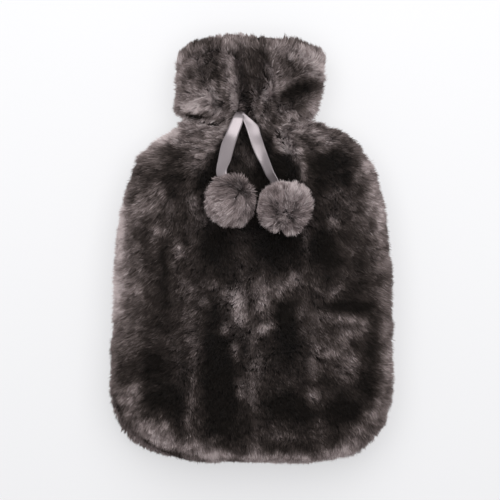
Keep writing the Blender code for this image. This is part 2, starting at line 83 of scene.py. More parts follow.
# ---- folds ---------------------------------------------------------------------------------------
# x0, y0 to x1, y1: the line; half0, half1: half-widths; deep0, deep1: depths, below zero for a
# ridge; shade: how strongly the fold's painted shade counts, and on a ridge its painted light.
FOLDS = np.array(
    [
        (-0.0225, 0.1210, -0.0370, 0.1640, 0.0065, 0.0115, 0.0070, 0.0080, 0.7),
        (-0.0020, 0.1210, 0.0010, 0.1740, 0.0070, 0.0150, 0.0070, 0.0090, 0.85),
        (0.0105, 0.1210, 0.0120, 0.1500, 0.0060, 0.0080, 0.0045, 0.0030, 1.0),
        (0.0230, 0.1230, 0.0600, 0.1480, 0.0080, 0.0150, 0.0060, 0.0095, 0.2),
        (0.0260, 0.1440, 0.0390, 0.1680, 0.0090, 0.0110, 0.0015, 0.0035, 1.0),
        (-0.0300, 0.1250, -0.0540, 0.1330, 0.0110, 0.0140, -0.0010, -0.0040, 1.0),
        (-0.0720, 0.1140, -0.0210, 0.1110, 0.0065, 0.0060, 0.0160, 0.0040, 0.2),
        (0.0660, 0.1130, 0.0250, 0.1100, 0.0065, 0.0060, 0.0150, 0.0035, 0.1),
        (-0.0010, 0.1060, 0.0020, 0.0400, 0.0100, 0.0400, 0.0045, 0.0120, 0.6),
        (0.0210, 0.1010, 0.0300, 0.0620, 0.0075, 0.0130, 0.0055, 0.0085, 0.3),
        (0.0340, 0.0990, 0.0490, 0.0580, 0.0090, 0.0140, -0.0035, -0.0075, 1.0),
        (-0.0240, 0.1010, -0.0470, 0.0660, 0.0095, 0.0170, -0.0030, -0.0060, 1.0),
        (-0.0270, 0.1070, -0.0570, 0.0970, 0.0080, 0.0100, 0.0035, 0.0040, 0.6),
    ]
)

# Soft lumps of the pile, as waves: length across, length along, height, phase across, phase along.
LUMPS = (
    (0.054, 0.210, 0.0011, 0.0, 0.7),
    (0.083, 0.095, 0.0010, 1.3, 2.8),
    (0.037, 0.046, 0.0006, 2.6, 4.9),
)

# ---- painted light and shade on the front, over the nap's own pale tips and dark depths ----------
# Each is an oval, chosen over the photograph and written in its pixels. x, y: middle, from
# the top left; half_a, half_b: half-lengths along and across; turn: degrees; light: how much paler,
# below zero for darker.
PIXEL = 0.8625e-3  # metres that a pixel of the photograph spans
ORIGIN_X, ORIGIN_Y = 250.5, 249.5  # the frame's origin in its pixels
BODY_SPREAD = 1.12  # the body's ovals reach this much farther than drawn
TENTH_MM = 4  # decimals of a metre that an oval is placed to
UPPER_PATCHES = (
    # below the gather, left
    (166, 136, 15, 8, 30, 0.46),
    (200, 124, 16, 6, 12, 0.50),
    # painted shade in the crease under the collar
    (195, 118.5, 13, 2.2, -13, -0.60),
    (184, 131, 11, 3, 22, -0.12),
    (184, 119, 8, 4, 10, 0.22),
    (210, 131, 7, 6, 0, 0.16),
    (180, 132, 8, 6, 10, 0.30),
    (198, 133, 8, 6, 0, 0.12),
    (177, 143, 8, 6, 10, 0.20),
    (220, 130, 7, 12, -38, 0.32),
    (208, 143, 11, 16, -38, 0.22),
    (193, 158, 9, 13, -34, 0.22),
    (190, 142, 9, 7, 20, 0.22),
    (217, 162, 5, 13, -25, -0.46),
    (204, 182, 9, 12, 0, -0.22),
    (147, 149, 14, 8, 40, 0.08),
    (173, 150, 8, 9, 0, -0.04),
    (226, 116, 7, 5, 30, 0.14),
    # below the gather, middle and right, and one left of the pompoms
    (243, 155, 6, 16, 0, 0.10),
    (251, 164, 6, 8, 0, 0.18),
    (194, 206, 6, 8, 0, 0.16),
    # these two: the painted shadow that the ridge on the right casts into the hollow
    (283, 170, 9, 13, -26, -0.70),
    (268, 150, 4, 15, -20, -0.40),
    (262, 178, 8, 10, 0, -0.12),
    (265, 124, 7, 6, -35, 0.38),
    (277, 136, 8, 9, -40, 0.20),
    (292, 122, 12, 7, -20, 0.30),
    (286, 141, 8, 10, -42, 0.42),
    (299, 156, 6, 11, -30, 0.32),
    (304, 172, 4.5, 10, -10, 0.28),
    (312, 131, 14, 8, -16, 0.42),
    (287, 152, 5.5, 7, -20, 0.54),
    (348, 182, 9, 8, 0, -0.16),
    (258, 118, 5, 5, 0, 0.22),
    (292, 162, 4, 6, -30, 0.20),
    (318, 152, 9, 7, 0, 0.20),
    (287, 180, 7, 6, 0, -0.30),
    (330, 141, 12, 9, -30, 0.38),
    (350, 152, 13, 8, -40, 0.18),
    (326, 154, 7, 6, 0, 0.15),
    (308, 146, 8, 8, 0, 0.12),
    # collar
    (181, 78, 6, 26, 0, 0.12),
    (195, 62, 8, 10, 0, 0.18),
    (206, 57, 9, 8, 0, 0.22),
    (211, 66, 5, 14, 24, -0.10),
    (221.5, 96, 2.4, 17, 16, -0.12),
    (223, 91, 6, 10, 0, 0.18),
    (192, 96, 9, 5, -15, 0.12),
    (206, 97, 9, 8, -25, 0.38),
    (213, 84, 7, 8, 0, 0.14),
    (197, 110, 13, 5.5, -6, 0.48),
    (214, 108, 7, 8, 35, 0.16),
    (185, 109, 8, 6, 0, 0.38),
    (197, 82, 8, 6, 30, 0.01),
    (229, 62, 7, 20, 5, 0.26),
    (233, 92, 6, 17, 4, 0.40),
    (243, 104, 3, 9, 0, 0.10),
    (245.5, 96, 2.6, 14, 8, -0.10),
    (252, 62, 8, 18, 0, -0.02),
    (252.5, 98, 4, 11, 0, 0.46),
    (259.5, 96, 2.2, 10, 0, -0.22),
    (262, 66, 4.5, 15, -5, -0.06),
    (236, 65, 5, 8, 0, -0.16),
    (247, 50, 8, 5, 0, 0.12),
    (270, 74, 5, 14, -24, 0.16),
    (268, 94, 5.5, 15, -22, 0.42),
    (279, 90, 7, 10, -45, 0.14),
    (287, 51, 9, 7, -20, 0.16),
    (281, 78, 8, 6, -30, 0.16),
    (278, 65, 6, 6, 0, -0.08),
    (272, 50, 11, 9, -10, 0.18),
    (309, 54, 14, 9, -22, 0.30),
    (294, 46, 12, 6, -10, 0.14),
    (316, 68, 9, 9, 0, 0.34),
    # painted shade in the fold at the collar's right
    (302, 90, 23, 6.5, 19, -0.26),
    (280, 86, 6, 6, 0, 0.14),
    (314, 77, 8, 5, -10, 0.22),
    (304, 109, 8, 6, 10, -0.26),
    (296, 112, 18, 7, 8, 0.22),
    (314, 106, 6, 6, 30, 0.04),
    (268, 110, 8, 6, 0, 0.06),
    (228, 40, 24, 4, 0, 0.04),
)
BODY_PATCHES = (
    # left flank
    (152, 160, 13, 11, 30, 0.20),
    (147, 194, 12, 10, 0, 0.24),
    (134, 209, 9, 6, 20, 0.12),
    (203, 221, 7, 7, 0, 0.14),
    (143, 240, 6, 8, 0, -0.14),
    (133, 220, 6, 7, 0, 0.24),
    (161, 192, 6, 8, 0, 0.18),
    (152, 210, 9, 6, 0, 0.20),
    (150, 238, 9, 13, 0, 0.07),
    (177, 252, 5, 8, 5, 0.26),
    (172, 264, 5, 8, 0, 0.12),
    (135, 250, 8, 22, 0, 0.12),
    (138, 290, 12, 22, 0, 0.18),
    (152, 304, 8, 14, 0, -0.06),
    (163, 268, 4, 26, 4, -0.14),
    (172, 215, 6, 12, 0, 0.08),
    (130, 337, 12, 18, 0, 0.14),
    (150, 320, 8, 8, 0, -0.04),
    (157, 234, 7, 12, 0, 0.18),
    (193, 230, 6, 26, 0, 0.14),
    (178, 180, 6, 8, 0, -0.14),
    (165, 180, 7, 14, 0, -0.12),
    (186, 292, 9, 13, 0, 0.13),
    (203, 302, 7, 5, 0, 0.18),
    (190, 318, 10, 8, 0, 0.18),
    (193, 342, 8, 18, 0, 0.19),
    (194, 376, 6.5, 18, 0, 0.11),
    (192, 404, 6.5, 18, 0, 0.16),
    (190, 431, 8, 9, 0, 0.18),
    (176, 357, 7, 14, 0, 0.08),
    (154, 368, 14, 13, 0, -0.16),
    (160, 400, 18, 14, 0, -0.20),
    (177, 410, 7, 20, 0, -0.16),
    (122, 376, 8, 12, 0, -0.06),
    (119, 225, 6, 40, 2, 0.32),
    (115, 290, 7, 34, 2, 0.32),
    # middle, from under the pompoms down, and one at the right edge
    (214, 250, 14, 14, 0, -0.18),
    (246, 252, 9, 20, 0, 0.10),
    (276, 250, 20, 13, 0, -0.24),
    (369, 235, 5, 9, 0, 0.16),
    (306, 246, 5, 22, 0, 0.16),
    (212, 286, 8, 6, 0, 0.18),
    (228, 295, 8, 5, -30, 0.14),
    (237, 305, 8, 15, 10, 0.50),
    (241, 321, 6, 6, 0, 0.22),
    (224, 329, 5, 6.5, 0, 0.48),
    (235, 350, 4, 9, 5, 0.34),
    (241, 391, 5, 8, 0, 0.36),
    (249, 302, 2.6, 20, 0, -0.10),
    (262, 291, 10, 12, 0, 0.20),
    (265, 308, 9, 9, 0, 0.20),
    (245, 298, 4, 8, 0, 0.12),
    (221, 300, 5, 7, 0, 0.16),
    (266, 329, 11, 4.5, 28, 0.46),
    (281, 294, 8, 6, 40, 0.22),
    (292, 282, 10, 8, 35, 0.26),
    (284, 314, 9, 13, 0, -0.20),
    (287, 342, 11, 24, 0, -0.22),
    (216, 356, 13, 36, 0, -0.26),
    (222, 408, 15, 30, 0, -0.26),
    (250, 342, 6, 14, 0, 0.14),
    (255, 368, 9, 20, 0, 0.14),
    (253, 402, 6, 18, 0, 0.18),
    (256, 447, 8, 9, 0, 0.16),
    (247, 428, 5, 8, 0, -0.14),
    (216, 439, 8, 6, 0, 0.14),
    (285, 376, 11, 15, 0, 0.08),
    (288, 408, 20, 12, 0, -0.22),
    (286, 436, 13, 8, 0, 0.16),
    (304, 332, 6, 14, 0, 0.10),
    (314, 352, 6, 26, 0, 0.18),
    (301, 314, 6, 6, 0, 0.16),
    (234, 282, 5, 5, 0, -0.10),
    # right flank
    (332, 160, 20, 18, -10, -0.22),
    (318, 184, 9, 12, 0, -0.12),
    (335, 195, 9, 5, 20, 0.18),
    (350, 206, 9, 6, 0, 0.20),
    (334, 224, 7, 9, 0, 0.22),
    (352, 228, 7, 7, 0, 0.06),
    (322, 248, 11, 13, 0, -0.26),
    (334, 262, 9, 9, 0, -0.20),
    (352, 252, 10, 8, 0, 0.06),
    (378, 245, 7, 30, -4, 0.16),
    (382, 219, 4, 11, -8, 0.26),
    (383, 310, 5, 40, 0, 0.14),
    (380, 322, 5, 8, 0, -0.20),
    (372, 200, 7, 20, -15, 0.30),
    (363, 172, 7, 14, -35, 0.28),
    (316, 284, 5, 10, 10, 0.08),
    (334, 293, 12, 5, 38, 0.24),
    (345, 274, 3.6, 7, 0, 0.14),
    (319, 318, 7, 8, 0, 0.08),
    (350, 308, 20, 4, -2, -0.36),
    (346, 320, 20, 4.0, -3, 0.24),
    (368, 328, 4.5, 7, 20, 0.18),
    (357, 334, 8, 8, 0, 0.20),
    (345, 340, 7, 7, -25, 0.22),
    (335, 354, 11, 6, 0, 0.22),
    (325, 342, 8, 12, 0, 0.05),
    (352, 362, 8, 8, 0, 0.20),
    (347, 376, 10, 9, 0, 0.14),
    (330, 376, 9, 10, 0, -0.02),
    (313, 396, 5, 7, 0, 0.28),
    (336, 395, 9, 6, 0, 0.06),
    (373, 352, 6, 24, 3, -0.16),
    (386, 348, 5, 8, 0, -0.16),
    (368, 385, 7, 14, 20, -0.13),
    (344, 410, 18, 13, 10, -0.26),
    (322, 428, 5.5, 16, 0, 0.12),
    (303, 422, 8, 16, 0, -0.10),
    # bottom rim, its paler tufts painted rim light, and last the painted shadow line beside the
    # rolled seam
    (130, 394, 10, 9, 0, 0.16),
    (138, 388, 5, 6, 0, 0.18),
    (134, 409, 8, 10, -35, 0.20),
    (147, 428, 13, 8, -45, 0.22),
    (165, 440, 15, 8, -33, 0.26),
    (159, 445, 11, 4, -32, 0.20),
    (166, 427, 7, 6, -30, 0.22),
    (118, 397, 5, 9, 15, 0.16),
    (184, 434, 9, 6, -25, -0.14),
    (194, 448, 15, 9, -12, 0.27),
    (201, 457, 12, 4, -8, 0.22),
    (218, 456, 12, 7, -5, 0.54),
    (243, 460, 14, 5.5, 0, 0.20),
    (268, 460, 15, 6, 0, 0.34),
    (280, 450, 20, 3, 0, -0.04),
    (299, 459.5, 15, 6, 0, 0.40),
    (338, 454, 14, 6, 15, 0.44),
    (337, 438, 9, 4, 15, -0.08),
    (349, 448, 7, 6, 30, 0.18),
    (357, 433, 12, 9, 40, 0.24),
    (372, 414, 8, 13, -30, 0.20),
    (382, 396, 5, 12, -12, 0.14),
    (388, 358, 5, 28, 0, 0.16),
    (117, 409, 2.4, 11, 22, -0.36),
    (129, 429, 2.4, 12, 42, -0.24),
    (147, 445, 2.6, 12, 58, -0.52),
    (168, 454, 2.4, 11, 72, -0.44),
)


def in_metres(drawn: tuple[Patch, ...], spread: float = 1.0) -> list[Patch]:
    """Patches in the object's frame.

    Args:
        drawn: the patches in pixels of the photograph.
        spread: how much farther their ovals reach than drawn.

    Returns:
        The same patches, with their middles and half-lengths in metres.
    """
    patches = []
    for x, y, half_a, half_b, turn, light in drawn:
        middle = ((x - ORIGIN_X) * PIXEL, (ORIGIN_Y - y) * PIXEL)
        halves = (half_a * spread * PIXEL, half_b * spread * PIXEL)
        patches.append((*(round(length, TENTH_MM) for length in middle + halves), turn, light))
    return patches


PATCHES = np.array(in_metres(UPPER_PATCHES) + in_metres(BODY_PATCHES, BODY_SPREAD))

# ---- places where the pile's rim stands out farther, or is trimmed -------------------------------
# x, y: middle; half: half-length; reach: how far, below zero where it is trimmed.
TRIMS = np.array(
    [
        (0.1200, -0.0550, 0.0750, 0.0018),
        (0.1100, 0.0600, 0.0300, 0.0005),
        (-0.0080, -0.1870, 0.0640, -0.0046),
        (-0.0980, -0.1600, 0.0320, 0.0026),
        (0.0960, -0.1710, 0.0180, 0.0030),
        (-0.0150, 0.1865, 0.0140, 0.0034),
        (0.0200, 0.1865, 0.0200, -0.0024),
        (0.0430, 0.1865, 0.0150, -0.0090),
        (-0.0620, 0.1600, 0.0160, 0.0014),
        (0.0600, 0.1600, 0.0160, 0.0036),
        (0.0620, 0.1250, 0.0250, 0.0010),
        (-0.0640, 0.1200, 0.0060, 0.0016),
        (-0.0885, 0.0825, 0.0140, 0.0030),
        (-0.0750, 0.0960, 0.0090, 0.0010),
        (-0.1200, -0.1250, 0.0260, 0.0018),
        (-0.0650, 0.1460, 0.0100, -0.0034),
        (-0.1020, 0.0660, 0.0120, -0.0018),
        (-0.1220, -0.0850, 0.0140, -0.0016),
        (0.0640, 0.1450, 0.0080, -0.0016),
    ]
)

# ---- the tie's two edges, from the left pompom through the slit to the right one -----------------
# x0, y0, z0: the left edge; x1, y1, z1: the right edge. The right strand starts at a turned edge.
RIBBON_EDGES = np.array(
    [
        (-0.0237, 0.0534, 0.0820, -0.0155, 0.0526, 0.0877),
        (-0.0272, 0.0590, 0.0809, -0.0190, 0.0590, 0.0866),
        (-0.0293, 0.0663, 0.0797, -0.0202, 0.0676, 0.0838),
        (-0.0276, 0.0772, 0.0756, -0.0167, 0.0765, 0.0766),
        (-0.0252, 0.0891, 0.0690, -0.0140, 0.0865, 0.0703),
        (-0.0215, 0.0985, 0.0641, -0.0107, 0.0970, 0.0648),
        (-0.0174, 0.1085, 0.0616, -0.0070, 0.1070, 0.0620),
        (-0.0144, 0.1148, 0.0596, -0.0058, 0.1125, 0.0606),
        (-0.0122, 0.1180, 0.0545, -0.0052, 0.1158, 0.0570),
        (-0.0110, 0.1172, 0.0465, -0.0045, 0.1165, 0.0465),
        (-0.0108, 0.1178, 0.0440, -0.0042, 0.1176, 0.0440),
        (-0.0106, 0.1186, 0.0455, -0.0042, 0.1184, 0.0455),
        (-0.0100, 0.1186, 0.0510, -0.0045, 0.1184, 0.0510),
        (-0.0078, 0.1178, 0.0576, -0.0058, 0.1176, 0.0580),
        (-0.0070, 0.1140, 0.0598, -0.0018, 0.1138, 0.0599),
        (-0.0058, 0.1098, 0.0614, 0.0032, 0.1095, 0.0613),
        (-0.0039, 0.1045, 0.0634, 0.0070, 0.1055, 0.0630),
        (-0.0014, 0.0968, 0.0663, 0.0090, 0.0980, 0.0660),
        (0.0013, 0.0884, 0.0696, 0.0114, 0.0905, 0.0703),
        (0.0047, 0.0802, 0.0728, 0.0142, 0.0823, 0.0746),
        (0.0091, 0.0720, 0.0755, 0.0170, 0.0745, 0.0800),
        (0.0134, 0.0628, 0.0785, 0.0200, 0.0662, 0.0848),
        (0.0178, 0.0560, 0.0802, 0.0237, 0.0590, 0.0872),
        (0.0208, 0.0470, 0.0820, 0.0265, 0.0500, 0.0885),
    ]
)


class Face(Enum):
    """The two panels of the cover."""

    FRONT = "front"
    BACK = "back"


# ---- small helpers -------------------------------------------------------------------------------


def ease(value: Array, low: float, high: float) -> Array:
    """A smooth step from 0 at low to 1 at high.

    Args:
        value: where to read the step.
        low: where it leaves 0.
        high: where it reaches 1.

    Returns:
        The step's height at each value.
    """
    share = np.clip((value - low) / (high - low), 0.0, 1.0)
    return share * share * (3.0 - 2.0 * share)


def unit(vectors: Array) -> Array:
    """The vectors at length 1."""
    return vectors / np.maximum(np.linalg.norm(vectors, axis=-1, keepdims=True), TINY)


def cloud(x: Array, y: Array, size: float, seed: int) -> Array:
    """Smooth noise: random values on a square lattice, blended by a smooth step along both axes.

    Args:
        x: first coordinate of each place.
        y: second coordinate of each place.
        size: the lattice's spacing.
        seed: of its random values.

    Returns:
        Values from -1 to 1.
    """
    side = 64
    lattice = np.random.default_rng(seed).uniform(-1.0, 1.0, (side, side))
    column, row = np.floor(x / size).astype(int), np.floor(y / size).astype(int)
    s, t = x / size - column, y / size - row
    s, t = s * s * (3.0 - 2.0 * s), t * t * (3.0 - 2.0 * t)
    i, j, k, m = column % side, (column + 1) % side, row % side, (row + 1) % side
    low = lattice[i, k] * (1.0 - s) + lattice[j, k] * s
    high = lattice[i, m] * (1.0 - s) + lattice[j, m] * s
    return low * (1.0 - t) + high * t


def bunches(place: Array, size: float, seed: int) -> tuple[Array, Array, Array]:
    """The bunch that each strand belongs to: the nearest of points strewn one to a lattice square.

    Args:
        place: (n, 2) places on the unrolled cloth.
        size: spacing of the bunches.
        seed: of the strewing.

    Returns:
        The vector to the bunch's middle, the distance as a share of size, and three random
        numbers from -1 to 1 that all strands of a bunch share.
    """
    side, margin = 256, 0.1
    rng = np.random.default_rng(seed)
    strewn = rng.uniform(margin, 1.0 - margin, (side, side, 2))
    drawn = rng.uniform(-1.0, 1.0, (side, side, 3))
    cell = np.floor(place / size).astype(int)
    best = np.full(len(place), np.inf)
    toward = np.zeros_like(place)
    shared = np.zeros((len(place), 3))
    for step in np.ndindex(3, 3):
        near = cell + np.array(step) - 1
        index = near[:, 0] % side, near[:, 1] % side
        offset = (near + strewn[index]) * size - place
        away = np.hypot(offset[:, 0], offset[:, 1])
        closer = away < best
        best = np.where(closer, away, best)
        toward = np.where(closer[:, None], offset, toward)
        shared = np.where(closer[:, None], drawn[index], shared)
    return toward, best / size, shared


def mesh_object(
    name: str, points: Array, faces: Array, sizes: Array, uv: Array | None = None
) -> bpy.types.Object:
    """A mesh object from whole arrays.

    Args:
        name: of the piece.
        points: (n, 3) vertices.
        faces: the vertex index of every corner, face after face.
        sizes: how many corners each face has.
        uv: (corners, 2) places in the piece's own UV map.

    Returns:
        The object, in the scene, smooth shaded.
    """
    mesh = bpy.data.meshes.new(name)
    mesh.vertices.add(len(points))
    mesh.vertices.foreach_set("co", np.ascontiguousarray(points, np.float32).ravel())
    mesh.loops.add(len(faces))
    mesh.loops.foreach_set("vertex_index", np.ascontiguousarray(faces, np.int32))
    mesh.polygons.add(len(sizes))
    starts = np.concatenate([[0], np.cumsum(sizes)[:-1]]).astype(np.int32)
    mesh.polygons.foreach_set("loop_start", starts)
    if uv is not None:
        layer = mesh.uv_layers.new(name=UV_MAP)
        layer.uv.foreach_set("vector", np.ascontiguousarray(uv, np.float32).ravel())
    mesh.update(calc_edges=True)
    mesh.validate()
    mesh.shade_smooth()
    made = bpy.data.objects.new(name, mesh)
    bpy.context.scene.collection.objects.link(made)
    return made


def grid_faces(rows: int, columns: int, closed: bool = False) -> Array:
    """Quads of a grid of points, row after row.

    Args:
        rows: of points.
        columns: of points.
        closed: whether the last column joins the first.

    Returns:
        (faces, 4) vertex indices, counter-clockwise with columns to the right and rows up.
    """
    index = np.arange(rows * columns).reshape(rows, columns)
    beside = np.roll(index, -1, axis=1)
    quads = np.stack([index[:-1], beside[:-1], beside[1:], index[1:]], axis=-1)
    if not closed:
        quads = quads[:, :-1]
    return quads.reshape(-1, 4)


def new_material(name: str) -> tuple[bpy.types.Material, bpy.types.NodeTree, bpy.types.Node]:
    """A new material made of nodes: itself, its node tree and its shader."""
    made = bpy.data.materials.new(name)
    made.use_nodes = True
    return made, made.node_tree, made.node_tree.nodes["Principled BSDF"]


def set_inputs(node: bpy.types.Node, values: dict[str, float | tuple[float, ...]]) -> None:
    """Sets a node's own sockets by their names."""
    for name, value in values.items():
        node.inputs[name].default_value = value


def opaque(colour: Iterable[float]) -> tuple[float, ...]:
    """The colour with an alpha of 1."""
    return (*colour, 1.0)


# ---- finishes ------------------------------------------------------------------------------------


@dataclass(frozen=True)
class PileFinish:
    """A pile whose blades carry their tone and their place from root to tip in their UV map.

    shades: a tone and its colour, from dark to pale. root_share, body_share: what is left of the
    colour at a blade's root and at its middle.
    """

    name: str
    shades: tuple[tuple[float, float, float, float], ...]
    root_share: float
    body_share: float
    sheen: float
    sheen_tint: Colour
    roughness: float = 0.85
    sheen_roughness: float = 0.45
    specular: float = 0.15

    def build(self) -> bpy.types.Material:
        """The material: a colour read from the tone, darkened towards the root.

        Returns:
            The new material.
        """
        made, tree, shader = new_material(self.name)
        nodes, links = tree.nodes, tree.links
        uv = nodes.new("ShaderNodeUVMap")
        uv.uv_map = UV_MAP
        parts = nodes.new("ShaderNodeSeparateXYZ")
        tone = nodes.new("ShaderNodeValToRGB")
        stops = tone.color_ramp.elements
        stops.remove(stops[1])
        for k, (place, *colour) in enumerate(self.shades):
            stop = stops[0] if k == 0 else stops.new(place)
            stop.position = place
            stop.color = opaque(colour)
        depth = nodes.new("ShaderNodeValToRGB")
        stops = depth.color_ramp.elements
        stops[0].color = opaque((self.root_share,) * 3)
        stops[1].color = opaque((1.0,) * 3)
        stops.new(MIDDLE_V).color = opaque((self.body_share,) * 3)
        # A mix of colours has its factor in socket 0, its colours in 6 and 7, and its result in 2.
        shade = nodes.new("ShaderNodeMix")
        shade.data_type = "RGBA"
        shade.blend_type = "MULTIPLY"
        shade.inputs[0].default_value = 1.0
        links.new(uv.outputs["UV"], parts.inputs["Vector"])
        links.new(parts.outputs["X"], tone.inputs["Fac"])
        links.new(parts.outputs["Y"], depth.inputs["Fac"])
        links.new(tone.outputs["Color"], shade.inputs[6])
        links.new(depth.outputs["Color"], shade.inputs[7])
        links.new(shade.outputs[2], shader.inputs["Base Color"])
        values = {
            "Roughness": self.roughness,
            "Specular IOR Level": self.specular,
            "Sheen Weight": self.sheen,
            "Sheen Roughness": self.sheen_roughness,
            "Sheen Tint": opaque(self.sheen_tint),
        }
        set_inputs(shader, values)
        return made


@dataclass(frozen=True)
class KnitFinish:
    """The knitted ground of the plush, which shows only inside and between the tufts.

    course: height of a knitted course. wander, detail: how unevenly the courses run. mottle: how
    many dark and pale spots to a metre, and mottle_depth their contrast. relief: the bump's height.
    """

    name: str
    colour: Colour
    course: float
    wander: float = 1.5
    detail: float = 3.0
    mottle: float = 140.0
    mottle_depth: float = 0.3
    relief: float = 0.0004
    relief_strength: float = 0.5
    roughness: float = 0.95
    specular: float = 0.1

    def build(self) -> bpy.types.Material:
        """The material: fine knitted courses, raised by bump, over an uneven dark colour.

        Each crest and each trough of a wave is one course.

        Returns:
            The new material.
        """
        made, tree, shader = new_material(self.name)
        nodes, links = tree.nodes, tree.links
        place = nodes.new("ShaderNodeTexCoord")
        wave = nodes.new("ShaderNodeTexWave")
        wave.bands_direction = "Y"
        scale = 1.0 / (self.course * WAVE_PHASE / math.pi)
        set_inputs(wave, {"Scale": scale, "Distortion": self.wander, "Detail Scale": self.detail})
        mottle = nodes.new("ShaderNodeTexNoise")
        set_inputs(mottle, {"Scale": self.mottle})
        ramp = nodes.new("ShaderNodeValToRGB")
        for stop, sign in zip(ramp.color_ramp.elements, (-1.0, 1.0)):
            stop.color = opaque((1.0 + sign * self.mottle_depth) * part for part in self.colour)
        bump = nodes.new("ShaderNodeBump")
        set_inputs(bump, {"Strength": self.relief_strength, "Distance": self.relief})
        links.new(place.outputs["Object"], wave.inputs["Vector"])
        links.new(place.outputs["Object"], mottle.inputs["Vector"])
        links.new(mottle.outputs["Fac"], ramp.inputs["Fac"])
        links.new(ramp.outputs["Color"], shader.inputs["Base Color"])
        links.new(wave.outputs["Fac"], bump.inputs["Height"])
        links.new(bump.outputs["Normal"], shader.inputs["Normal"])
        set_inputs(shader, {"Roughness": self.roughness, "Specular IOR Level": self.specular})
        return made


@dataclass(frozen=True)
class SatinFinish:
    """Woven satin: smooth and lustrous, with fine threads that run along the ribbon.

    threads: how many lie side by side in the width. dark: what is left of the colour between two
    threads. relief: the bump's height.
    """

    name: str
    colour: Colour
    threads: float
    roughness: float
    lustre: float
    wander: float = 0.6
    dark: float = 0.88
    relief: float = 0.0002
    relief_strength: float = 0.15
    specular: float = 0.5

    def build(self) -> bpy.types.Material:
        """The material: waves across the ribbon's own UV map, a crest or a trough to a thread.

        Returns:
            The new material.
        """
        made, tree, shader = new_material(self.name)
        nodes, links = tree.nodes, tree.links
        uv = nodes.new("ShaderNodeUVMap")
        uv.uv_map = UV_MAP
        wave = nodes.new("ShaderNodeTexWave")
        set_inputs(wave, {"Scale": self.threads * math.pi / WAVE_PHASE, "Distortion": self.wander})
        ramp = nodes.new("ShaderNodeValToRGB")
        for stop, share in zip(ramp.color_ramp.elements, (self.dark, 1.0)):
            stop.color = opaque(share * part for part in self.colour)
        bump = nodes.new("ShaderNodeBump")
        set_inputs(bump, {"Strength": self.relief_strength, "Distance": self.relief})
        links.new(uv.outputs["UV"], wave.inputs["Vector"])
        links.new(wave.outputs["Fac"], ramp.inputs["Fac"])
        links.new(ramp.outputs["Color"], shader.inputs["Base Color"])
        links.new(wave.outputs["Fac"], bump.inputs["Height"])
        links.new(bump.outputs["Normal"], shader.inputs["Normal"])
        values = {
            "Roughness": self.roughness,
            "Metallic": self.lustre,
            "Specular IOR Level": self.specular,
        }
        set_inputs(shader, values)
        return made


PLUSH_PILE = PileFinish(
    name="plush_pile",
    shades=(
        (0.0, 0.0078, 0.0058, 0.0044),
        (0.3, 0.0620, 0.0478, 0.0432),
        (0.6, 0.2400, 0.1940, 0.1860),
        (0.8, 0.4500, 0.3760, 0.3700),
        (1.0, 0.7000, 0.6100, 0.6050),
    ),
    root_share=0.22,
    body_share=0.66,
    sheen=0.05,
    sheen_tint=(0.85, 0.78, 0.78),
)
POMPOM_PILE = PileFinish(
    name="pompom_pile",
    shades=(
        (0.0, 0.0700, 0.0520, 0.0500),
        (0.4, 0.2400, 0.1900, 0.1860),
        (0.7, 0.4400, 0.3660, 0.3640),
        (1.0, 0.7200, 0.6350, 0.6350),
    ),
    root_share=0.22,
    body_share=0.62,
    sheen=0.15,
    sheen_tint=(0.9, 0.84, 0.84),
)
PLUSH_GROUND = KnitFinish(name="plush_ground", colour=(0.022, 0.018, 0.017), course=0.0011)
SATIN = SatinFinish(
    name="satin", colour=(0.340, 0.300, 0.312), threads=26.0, roughness=0.30, lustre=0.62
)


# ---- the cover's shape ---------------------------------------------------------------------------


